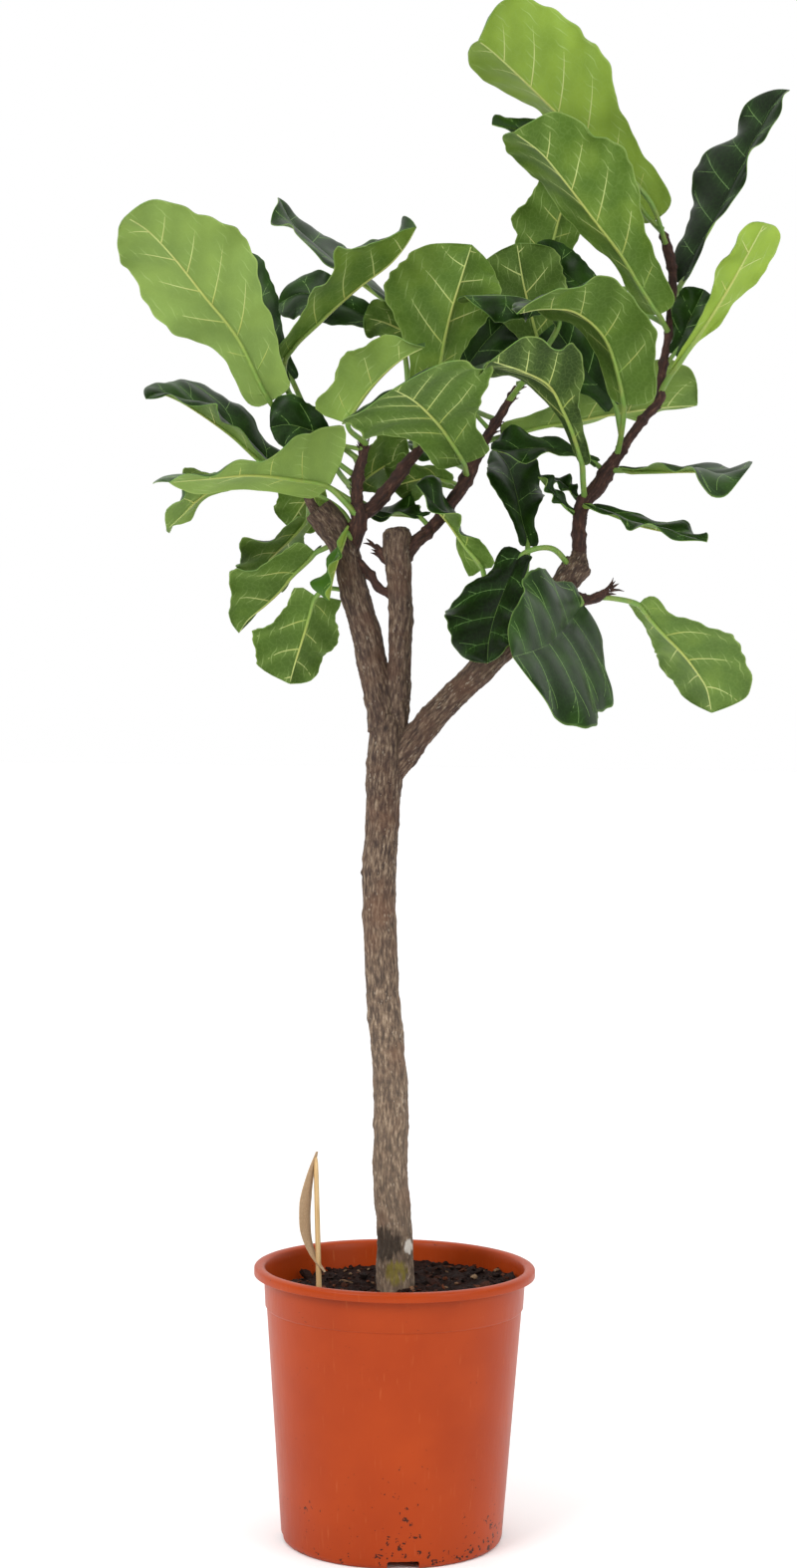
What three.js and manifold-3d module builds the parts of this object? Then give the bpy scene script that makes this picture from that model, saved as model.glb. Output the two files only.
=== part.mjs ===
// A fiddle leaf fig in a plastic nursery pot: the potted tree with its soil, its forked trunk, every leaf
// as a piece of its own, and a bamboo label stick. Millimetres, +Z up, the origin on the floor under the
// pot's axis, with the front of the tree facing -Y.
import * as THREE from "three";
import { mergeVertices } from "three/addons/utils/BufferGeometryUtils.js";
import Module from "manifold-3d";

const wasm = await Module();
wasm.setup();

// ---- driving dimensions -------------------------------------------------------------------------------
const GAP = 0.3;
const POT_HEIGHT = 263;
const RIM_RADIUS = 135;
const RIM_DEPTH = 9;
const RIM_WIDTH = 10.4;
const WALL = 2.2;
const WALL_RADIUS_TOP = 125.6;
const STEP_HEIGHT = 224;
const STEP_RADIUS = 124;
const STEP_INSET = 1.4;
const FOOT_RADIUS = 106.5;
const FOOT_ROUND = 7.5;
const SKIRT_HEIGHT = 9.5;
const FLOOR_THICKNESS = 2.5;
const BOSS_RADIUS = 15;
const NOTCH_WIDTH = 30;
const NOTCH_HEIGHT = 7.6;
const NOTCH_COUNT = 4;
const NOTCH_TURN = 6;
const DRAIN_RADIUS = 6;
const DRAIN_RING = 62;
const DRAIN_COUNT = 8;
const POT_SIDES = 32;

const SOIL_LEVEL = 240;
const SOIL_SLOPE = 0.06;
const SOIL_LUMP = 5;
const CHIP_COUNT = 11;
const CHIP_SIZE = 7;

const TRUNK_FOOT = 165;
const TRUNK_RADIUS = 18;

const BLADE_THICKNESS = 0.9;
const KEEL = 2.2;
const STALK_RADIUS = 3;
const EAR = 9;
const RIPPLE = 5;

const STICK_RADIUS = 2.6;
const STICK_TOP = 366;
const TAG_WIDTH = 24;
const TAG_THICKNESS = 0.8;

// ---- colours ------------------------------------------------------------------------------------------
const finish = (colour, roughness) =>
  new THREE.MeshStandardMaterial({ color: colour, roughness, metalness: 0, side: THREE.FrontSide });
const POT_PLASTIC = finish(0xbb4a24, 0.45);
const POTTING_SOIL = finish(0x2a1a12, 0.95);
const BARK = finish(0x6b5646, 0.9);
const LEAF_GREEN = finish(0x4f7530, 0.45);
const BAMBOO = finish(0xc9ab7c, 0.6);
const KRAFT_CARD = finish(0xb59c7d, 0.8);

// ---- small tools --------------------------------------------------------------------------------------
const rad = THREE.MathUtils.degToRad;
const lerp = THREE.MathUtils.lerp;

// A repeatable draw of numbers from 0 to 1.
function draws(seed) {
  let state = seed;
  return () => {
    state = (state * 1664525 + 1013904223) % 4294967296;
    return state / 4294967296;
  };
}

// The tree is laid out by how its pieces line up on the trunk's plane (x across, z up) for someone who
// stands in front of it, at FRONT_EYE. The third number moves a point along that line of sight: below zero
// towards the front, above zero towards the back.
const FRONT_EYE = new THREE.Vector3(-2.5, -2650, 790);

function seen([x, z, depth = 0]) {
  const reach = 1 + depth / -FRONT_EYE.y;
  return new THREE.Vector3(x, 0, z).sub(FRONT_EYE).multiplyScalar(reach).add(FRONT_EYE);
}

// A closed solid from a geometry, turned the right way out.
function solid(geometry) {
  const bare = new THREE.BufferGeometry();
  bare.setAttribute("position", geometry.getAttribute("position"));
  bare.setIndex(geometry.getIndex());
  const merged = mergeVertices(bare, 1e-4);
  const corners = Float32Array.from(merged.getAttribute("position").array);
  const triangles = Uint32Array.from(merged.getIndex().array);
  const kept = [];
  for (let i = 0; i < triangles.length; i += 3) {
    const [a, b, c] = triangles.subarray(i, i + 3);
    if (a !== b && b !== c && c !== a) kept.push(a, b, c);
  }
  if (signedVolume(corners, kept) < 0) kept.reverse();
  const mesh = new wasm.Mesh({ numProp: 3, vertProperties: corners, triVerts: Uint32Array.from(kept) });
  return new wasm.Manifold(mesh);
}

function signedVolume(corners, triangles) {
  const corner = (i) => new THREE.Vector3().fromArray(corners, 3 * i);
  let volume = 0;
  for (let i = 0; i < triangles.length; i += 3) {
    const [a, b, c] = [0, 1, 2].map((k) => corner(triangles[i + k]));
    volume += a.dot(b.cross(c)) / 6;
  }
  return volume;
}

function body(name, shape, material) {
  const { vertProperties, triVerts } = shape.getMesh();
  const geometry = new THREE.BufferGeometry();
  geometry.setAttribute("position", new THREE.BufferAttribute(Float32Array.from(vertProperties), 3));
  geometry.setIndex(new THREE.BufferAttribute(Uint32Array.from(triVerts), 1));
  geometry.computeVertexNormals();
  const mesh = new THREE.Mesh(geometry, material.clone());
  mesh.name = name;
  return mesh;
}

const united = (shapes) => shapes.reduce((whole, shape) => whole.add(shape));

// The largest of a solid's loose pieces.
function largest(shape) {
  const pieces = shape.decompose();
  return pieces.reduce((best, piece) => (piece.volume() > best.volume() ? piece : best));
}

// A closed skin over rings of points, all of one count. A ring runs across the upper face and back across
// the lower one, and both faces are split along like diagonals, so a waved sheet never cuts itself.
function skin(rings) {
  const count = rings[0].length;
  const half = count / 2;
  const at = (r, k) => r * count + (k % count);
  const faces = [];
  const quad = (a, b, c, d) => faces.push(a, b, c, a, c, d);
  for (let r = 0; r + 1 < rings.length; r++) {
    for (let k = 0; k < count; k++) {
      if (k < half) quad(at(r, k), at(r, k + 1), at(r + 1, k + 1), at(r + 1, k));
      else quad(at(r + 1, k), at(r, k), at(r, k + 1), at(r + 1, k + 1));
    }
  }
  const last = rings.length - 1;
  for (let k = 0; k + 1 < half; k++) {
    quad(at(0, count - 1 - k), at(0, count - 2 - k), at(0, k + 1), at(0, k));
    quad(at(last, k), at(last, k + 1), at(last, count - 2 - k), at(last, count - 1 - k));
  }
  const geometry = new THREE.BufferGeometry();
  const corners = rings.flat().flatMap((point) => point.toArray());
  geometry.setAttribute("position", new THREE.Float32BufferAttribute(corners, 3));
  geometry.setIndex(faces);
  return solid(geometry);
}

// A round stem along a route, with a radius at each of the route's points and knots of bark along it.
function stem(points, radii, { sides = 8, steps = 2, extra = 0, rough = 0, seed = 1 } = {}) {
  const curve = new THREE.CatmullRomCurve3(points, false, "centripetal");
  const draw = draws(seed);
  const total = (points.length - 1) * steps;
  const rings = [];
  let side = new THREE.Vector3(1, 0.2, 0);
  for (let i = 0; i <= total; i++) {
    const t = i / total;
    const along = curve.getTangent(t);
    side = side.clone().addScaledVector(along, -side.dot(along)).normalize();
    const front = new THREE.Vector3().crossVectors(along, side);
    const k = Math.min(Math.floor(t * (points.length - 1)), points.length - 2);
    const radius = lerp(radii[k], radii[k + 1], t * (points.length - 1) - k) + extra;
    const ring = [];
    for (let j = 0; j < sides; j++) {
      const angle = (2 * Math.PI * (j + 0.5)) / sides;
      const r = radius + rough * (draw() - 0.5);
      const out = side.clone().multiplyScalar(r * Math.cos(angle));
      ring.push(out.addScaledVector(front, r * Math.sin(angle)).add(curve.getPoint(t)));
    }
    rings.push(ring);
  }
  return skin(rings);
}

// ---- pot ----------------------------------------------------------------------------------------------
// The outer wall's radius at a height, below the rim and on either side of the step ring.
function wallRadius(z) {
  const belowStep = STEP_RADIUS - STEP_INSET;
  if (z < STEP_HEIGHT) return lerp(FOOT_RADIUS, belowStep, (z - FOOT_ROUND) / (STEP_HEIGHT - FOOT_ROUND));
  return lerp(STEP_RADIUS, WALL_RADIUS_TOP, (z - STEP_HEIGHT) / (POT_HEIGHT - RIM_DEPTH - STEP_HEIGHT));
}

const FLOOR_TOP = SKIRT_HEIGHT + FLOOR_THICKNESS;

function potProfile() {
  const skirtInside = FOOT_RADIUS - FOOT_ROUND;
  const lipInside = RIM_RADIUS - WALL;
  const underRim = POT_HEIGHT - RIM_DEPTH;
  const groove = POT_HEIGHT - RIM_DEPTH / 2;
  const rounded = [30, 60].map((a) => [
    FOOT_RADIUS - FOOT_ROUND * 0.6 * (1 - Math.sin(rad(a))),
    FOOT_ROUND * (1 - Math.cos(rad(a))),
  ]);
  const crown = [25, 90, 155].map((a) => [
    RIM_RADIUS - (RIM_WIDTH / 2) * (1 - Math.cos(rad(a))),
    POT_HEIGHT - 3 + 3 * Math.sin(rad(a)),
  ]);
  return [
    [0, 0],
    [BOSS_RADIUS, 0],
    [BOSS_RADIUS, SKIRT_HEIGHT],
    [skirtInside, SKIRT_HEIGHT],
    [skirtInside, 0],
    [FOOT_RADIUS - FOOT_ROUND * 0.6, 0],
    ...rounded,
    [FOOT_RADIUS, FOOT_ROUND],
    [wallRadius(STEP_HEIGHT - 0.01), STEP_HEIGHT - 1],
    [STEP_RADIUS, STEP_HEIGHT],
    [WALL_RADIUS_TOP, underRim],
    [WALL_RADIUS_TOP + 0.4, groove],
    [lipInside, groove],
    [lipInside, underRim],
    [RIM_RADIUS, underRim],
    ...crown,
    [WALL_RADIUS_TOP - WALL, underRim],
    [STEP_RADIUS - WALL, STEP_HEIGHT + 4],
    [wallRadius(FLOOR_TOP) - WALL, FLOOR_TOP],
    [0, FLOOR_TOP],
  ].map(([r, z]) => new THREE.Vector2(r, z));
}

// A thing turned round the upright axis.
const turned = (profile) => solid(new THREE.LatheGeometry(profile, POT_SIDES).rotateX(Math.PI / 2));

function pot() {
  let shell = turned(potProfile());
  for (let i = 0; i < NOTCH_COUNT; i++) {
    const notch = new THREE.BoxGeometry(NOTCH_WIDTH, 24, 2 * NOTCH_HEIGHT);
    notch.translate(0, -FOOT_RADIUS + 6, 0);
    notch.rotateZ(rad(NOTCH_TURN) + (2 * Math.PI * i) / NOTCH_COUNT);
    shell = shell.subtract(solid(notch));
  }
  for (let i = 0; i < DRAIN_COUNT; i++) {
    const drain = new THREE.CylinderGeometry(DRAIN_RADIUS, DRAIN_RADIUS, 4 * FLOOR_THICKNESS, 8);
    drain.rotateX(Math.PI / 2).translate(DRAIN_RING, 0, SKIRT_HEIGHT + FLOOR_THICKNESS / 2);
    drain.rotateZ((2 * Math.PI * (i + 0.5)) / DRAIN_COUNT);
    shell = shell.subtract(solid(drain));
  }
  return body("pot", shell, POT_PLASTIC);
}

// ---- woody parts --------------------------------------------------------------------------------------
// Routes of [across, up, depth, radius], each from where it leaves the older wood to its end. Leaves grow
// from these points.
const WOOD = {
  trunk: [
    [1, TRUNK_FOOT, 0, TRUNK_RADIUS + 1],
    [1, 243, 0, TRUNK_RADIUS],
    [-1, 300, 0, 17],
    [-5, 349, 0, 16.5],
    [-5, 416, 0, 16.5],
    [-9, 470, 0, 16],
    [-14, 521, 0, 16],
    [-17, 570, 0, 16],
    [-19, 610, 0, 16],
    [-19, 645, 0, 17],
    [-17, 680, 0, 16],
    [-16, 715, 0, 16.5],
    [-15, 745, 0, 18],
    [-13, 775, 0, 17],
    [-10, 795, 0, 13],
  ],
  left_limb: [
    [-14, 745, 0, 13],
    [-18, 790, 0, 14.5],
    [-26, 830, 2, 14],
    [-36, 875, 5, 14],
    [-46, 908, 8, 13.5],
    [-52, 935, 10, 13],
    [-60, 958, 12, 14],
    [-72, 976, 14, 15.5],
    [-82, 988, 14, 15],
  ],
  middle_limb: [
    [-6, 765, 0, 10],
    [-3, 800, -2, 11],
    [-2, 840, -4, 10.5],
    [-1.5, 880, -5, 11],
    [-3, 920, -6, 11.5],
    [-6, 948, -6, 13],
    [-6, 966, -6, 13],
  ],
  right_limb: [
    [-8, 738, 0, 12],
    [5, 756, -2, 14],
    [20, 777, -6, 13],
    [40, 800, -10, 12.5],
    [60, 820, -15, 12],
    [80, 840, -20, 13],
    [110, 868, -8, 11],
    [140, 900, 8, 11],
    [158, 924, 18, 13],
    [168, 938, 22, 14],
  ],
  hub: [
    [-52, 940, 10, 7],
    [-46, 962, 8, 8],
    [-42, 978, 6, 8],
    [-45, 992, 5, 7],
  ],
  left_twig: [
    [-44, 986, 6, 7],
    [-45, 1005, 4, 5.5],
    [-43, 1025, 2, 5],
    [-39, 1040, 0, 4],
    [-37, 1050, -2, 2.2],
  ],
  centre_twig: [
    [-42, 980, 8, 7],
    [-28, 991, 12, 7],
    [-17, 1004, 15, 6.5],
    [-8, 1016, 18, 6],
    [2, 1030, 20, 6],
    [12, 1042, 22, 5],
    [18, 1048, 24, 3],
  ],
  stub_shoot: [
    [-84, 984, 14, 5],
    [-92, 999, 16, 3.8],
    [-94, 1015, 18, 3],
  ],
  side_shoot: [
    [2, 944, -4, 8],
    [12, 957, -2, 6.5],
    [23, 966, 4, 5.5],
    [38, 984, 10, 6],
    [51, 1003, 16, 6.5],
    [60, 1018, 22, 6.5],
    [68, 1036, 28, 5.5],
    [76, 1053, 34, 5],
    [86, 1070, 40, 4.5],
    [97, 1088, 46, 4],
    [108, 1108, 52, 3],
  ],
  side_bud: [
    [-8, 934, -5, 4.5],
    [-19, 941, -6, 4],
    [-23, 949, -6, 3.2],
    [-28, 954, -6, 2],
  ],
  cross_twig: [
    [-52, 946, 8, 3.5],
    [-40, 936, 2, 3.2],
    [-31, 925, -2, 4],
    [-23, 913, -4, 4],
    [-8, 905, -6, 3.5],
  ],
  right_shoot: [
    [168, 934, 22, 9],
    [168, 955, 22, 6.5],
    [168, 975, 22, 6.5],
    [170, 992, 24, 7],
    [185, 1011, 28, 8],
    [193, 1024, 31, 7],
    [203, 1040, 34, 5.5],
    [214, 1057, 38, 4.5],
    [229, 1078, 44, 4.5],
    [242, 1093, 50, 4.5],
    [244, 1112, 54, 4],
    [247, 1135, 58, 4],
    [251, 1158, 62, 4],
    [254, 1190, 66, 4],
    [253, 1220, 70, 4.5],
    [248, 1240, 72, 5],
    [243, 1256, 74, 3],
  ],
  low_shoot: [
    [158, 922, 14, 7],
    [165, 908, -2, 5],
    [177, 903, -8, 4.5],
    [189, 908, -10, 4.5],
    [199, 915, -10, 1.6],
  ],
};

// A point on a stem's middle line, at a route number that may lie between two of its points.
function node(name, place) {
  const route = WOOD[name].map(seen);
  const k = Math.min(Math.floor(place), route.length - 2);
  return route[k].clone().lerp(route[k + 1], place - k);
}

// The whole of the wood as one solid, a little fatter where room is cut for what stands against it.
function wood(extra) {
  const settings = { trunk: { sides: 12, rough: 1.6 }, left_limb: { sides: 10, rough: 1.2 } };
  const stems = Object.entries(WOOD).map(([name, route], i) => {
    const radii = route.map((point) => point[3]);
    const { sides = 7, rough = 0.8 } = settings[name] ?? {};
    return stem(route.map(seen), radii, { sides, steps: 1, rough, extra, seed: 11 + i });
  });
  return united(stems);
}

const trunkSolid = wood(0);
const trunkRoom = wood(GAP);

// ---- soil ---------------------------------------------------------------------------------------------
function soilBed() {
  const draw = draws(5);
  const outer = (z) => wallRadius(z) - WALL - GAP;
  const rings = [0.3, 0.55, 0.8];
  const corners = [];
  const faces = [];
  const add = (r, angle, z) => {
    const x = r * Math.cos(angle);
    const slope = z > STEP_HEIGHT ? SOIL_SLOPE * x : 0;
    return corners.push(x, r * Math.sin(angle), z + slope) / 3 - 1;
  };
  const ring = (radius, height) =>
    Array.from({ length: POT_SIDES }, (_, i) => add(radius, (2 * Math.PI * i) / POT_SIDES, height()));
  const band = (a, b) => {
    for (let i = 0; i < POT_SIDES; i++) {
      const j = (i + 1) % POT_SIDES;
      faces.push(a[i], a[j], b[j], a[i], b[j], b[i]);
    }
  };
  const fan = (a, centre) => {
    for (let i = 0; i < POT_SIDES; i++) faces.push(a[i], a[(i + 1) % POT_SIDES], centre);
  };
  const lump = () => SOIL_LEVEL + SOIL_LUMP * (draw() - 0.5) * 2;
  const foot = ring(outer(FLOOR_TOP), () => FLOOR_TOP + GAP);
  const shoulder = ring(outer(STEP_HEIGHT - 1), () => STEP_HEIGHT - 1);
  const brim = ring(outer(STEP_HEIGHT + 8) - 1, () => lump() - 2);
  const inner = rings.reverse().map((share) => ring(share * outer(STEP_HEIGHT), lump));
  const levels = [foot, shoulder, brim, ...inner];
  for (let i = 0; i + 1 < levels.length; i++) band(levels[i], levels[i + 1]);
  fan(levels[levels.length - 1], add(0, 0, SOIL_LEVEL));
  fan([...foot].reverse(), add(0, 0, FLOOR_TOP + GAP));
  const geometry = new THREE.BufferGeometry();
  geometry.setAttribute("position", new THREE.Float32BufferAttribute(corners, 3));
  geometry.setIndex(faces);
  return solid(geometry);
}

// Bark chips and crumbs that stand out of the bed, sunk in by about half.
function chips() {
  const draw = draws(21);
  const placed = [];
  for (let i = 0; i < CHIP_COUNT; i++) {
    const size = CHIP_SIZE * (0.6 + draw());
    const radius = 30 + 78 * Math.sqrt(draw());
    const angle = 2 * Math.PI * draw();
    const chip = new THREE.IcosahedronGeometry(size, 0);
    chip.scale(1.2, 0.7, 0.5).rotateX(draw() - 0.5).rotateZ(Math.PI * draw());
    const x = radius * Math.cos(angle);
    chip.translate(x, radius * Math.sin(angle), SOIL_LEVEL + 2 + SOIL_SLOPE * x);
    placed.push(solid(chip));
  }
  return placed;
}

const STICK_FOOT = [-71, 195, -45];
const STICK_HEAD = [-77, STICK_TOP, -45];

function soil() {
  const stickRoom = stem([seen(STICK_FOOT), seen(STICK_HEAD)], [STICK_RADIUS, STICK_RADIUS], { extra: GAP });
  const bed = united([soilBed(), ...chips()]);
  return body("soil", largest(bed.subtract(trunkRoom).subtract(stickRoom)), POTTING_SOIL);
}

// ---- label stick --------------------------------------------------------------------------------------
function labelStick() {
  const ends = [seen(STICK_FOOT), seen(STICK_HEAD)];
  ends[0].z += GAP;
  return body("label_stick", stem(ends, [STICK_RADIUS, STICK_RADIUS], { sides: 8 }), BAMBOO);
}

// A blank kraft tag, slit at both ends, that rides on the stick and bows away from it.
const TAG_ROUTE = [
  [-76, 371, -45],
  [-81, 350, -45],
  [-85, 322, -45],
  [-84, 292, -45],
  [-77, 270, -45],
  [-67, 255, -45],
];

function labelCard() {
  const curve = new THREE.CatmullRomCurve3(TAG_ROUTE.map(seen), false, "centripetal");
  const rows = 8;
  const rings = [];
  for (let i = 0; i <= rows; i++) {
    const t = i / rows;
    const point = curve.getPoint(t);
    const along = curve.getTangent(t);
    const turn = rad(lerp(60, 72, t));
    const wide = new THREE.Vector3(Math.cos(turn), Math.sin(turn), 0);
    const face = new THREE.Vector3().crossVectors(wide, along).normalize();
    const half = (TAG_WIDTH / 2) * Math.min(1, 0.15 + 2.2 * t, 0.15 + 2.2 * (1 - t));
    const at = (v, n) =>
      point.clone().addScaledVector(wide, v * half).addScaledVector(face, (n * TAG_THICKNESS) / 2);
    rings.push([at(-1, 1), at(0, 1), at(1, 1), at(1, -1), at(0, -1), at(-1, -1)]);
  }
  const room = stem([seen(STICK_FOOT), seen(STICK_HEAD)], [STICK_RADIUS, STICK_RADIUS], { extra: GAP });
  return body("label_card", largest(skin(rings).subtract(room)), KRAFT_CARD);
}

// ---- leaves -------------------------------------------------------------------------------------------
// A fiddle leaf's half width along its length, as a share of the widest: a rounded ear at the stalk, a
// waist, and the broad round end.
const OUTLINE = [
  [0, 0.16],
  [0.06, 0.34],
  [0.18, 0.36],
  [0.34, 0.56],
  [0.52, 0.86],
  [0.7, 1],
  [0.85, 0.9],
  [0.95, 0.6],
  [1, 0.1],
];

// Values given as a list run along the leaf from stalk to tip.
function along(value, u) {
  if (!Array.isArray(value)) return value;
  const t = u * (value.length - 1);
  const k = Math.max(0, Math.min(Math.floor(t), value.length - 2));
  return value.length > 1 ? lerp(value[k], value[k + 1], t - k) : value[0];
}

// One half of the blade's cross-section at a share v of its width w: it leaves the midrib at the angle
// fold and bends on by curl, both upwards in degrees. Returns how far it reaches out and up.
function arc(w, v, fold, curl) {
  const a = rad(fold);
  const c = rad(Math.abs(curl) < 0.5 ? 0.5 : curl);
  const b = a + c * v;
  return [(w * (Math.sin(b) - Math.sin(a))) / c, (w * (Math.cos(a) - Math.cos(b))) / c];
}

const ACROSS = [-1, -0.5, 0, 0.5, 1];

function leaf(name, [twig, at], stalk, rib, top, wide, fold, curl = [0, 0]) {
  const points = [node(twig, at), ...stalk.map(seen), ...rib.map(seen)];
  const curve = new THREE.CatmullRomCurve3(points, false, "centripetal");
  const lengths = curve.getLengths(20 * (points.length - 1));
  const start = lengths[20 * (stalk.length + 1)] / curve.getLength();
  const phase = draws(name.length * 7 + Math.round(Math.abs(rib[0][0]) + rib[0][1]))() * 2 * Math.PI;
  const frame = (reach, u) => {
    const tangent = curve.getTangentAt(reach);
    const up = new THREE.Vector3(...[0, 1, 2].map((i) => along(top.map((vector) => vector[i]), u)));
    up.addScaledVector(tangent, -up.dot(tangent)).normalize();
    const right = new THREE.Vector3().crossVectors(tangent, up);
    return { point: curve.getPointAt(reach), tangent, up, right };
  };
  const rings = [];
  for (const share of stalk.length ? [0, 0.5, 0.93] : [0, 0.8]) {
    const { point, up, right } = frame(start * share, 0);
    const radius = STALK_RADIUS * lerp(1.2, 0.8, share);
    const around = (k) => {
      const angle = Math.PI - (Math.PI * (k + 0.5)) / ACROSS.length;
      const out = right.clone().multiplyScalar(radius * Math.cos(angle));
      return out.addScaledVector(up, radius * Math.sin(angle)).add(point);
    };
    rings.push(Array.from({ length: 2 * ACROSS.length }, (_, k) => around(k)));
  }
  for (const [u, share] of OUTLINE) {
    const { point, tangent, up, right } = frame(lerp(start, 1, u), u);
    const surface = (v) => {
      const side = v < 0 ? 0 : 1;
      const half = along(wide[side], u) * share;
      const [out, rise] = arc(half, Math.abs(v), along(fold[side], u), along(curl[side], u));
      const wave = RIPPLE * v * v * share * Math.sin(phase * (side + 1) + 2 * Math.PI * 2.6 * u);
      const back = EAR * Math.abs(v) * Math.max(0, 1 - u / 0.16);
      return point
        .clone()
        .addScaledVector(right, Math.sign(v) * out)
        .addScaledVector(up, rise + wave)
        .addScaledVector(tangent, -back);
    };
    const keel = (v) => (v === 0 ? KEEL * (1 - 0.8 * u) : 0);
    const upper = ACROSS.map((v) => surface(v).addScaledVector(up, BLADE_THICKNESS / 2));
    const lower = ACROSS.map((v) => surface(v).addScaledVector(up, -BLADE_THICKNESS / 2 - keel(v)));
    rings.push([...upper, ...lower.reverse()]);
  }
  return body(name, largest(skin(rings).subtract(trunkRoom)), LEAF_GREEN);
}

// Each leaf: the twig and the point on it that it grows from, the stalk's own points, the midrib's points
// from the stalk to the tip, which way the upper face looks along the leaf, then the half width, fold and
// curl of its left and right halves, seen from above with the tip ahead.
const BACK = [0, 1, 0.2];
const FRONT = [0, -1, 0.2];
const UP = [0, 0, 1];

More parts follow.
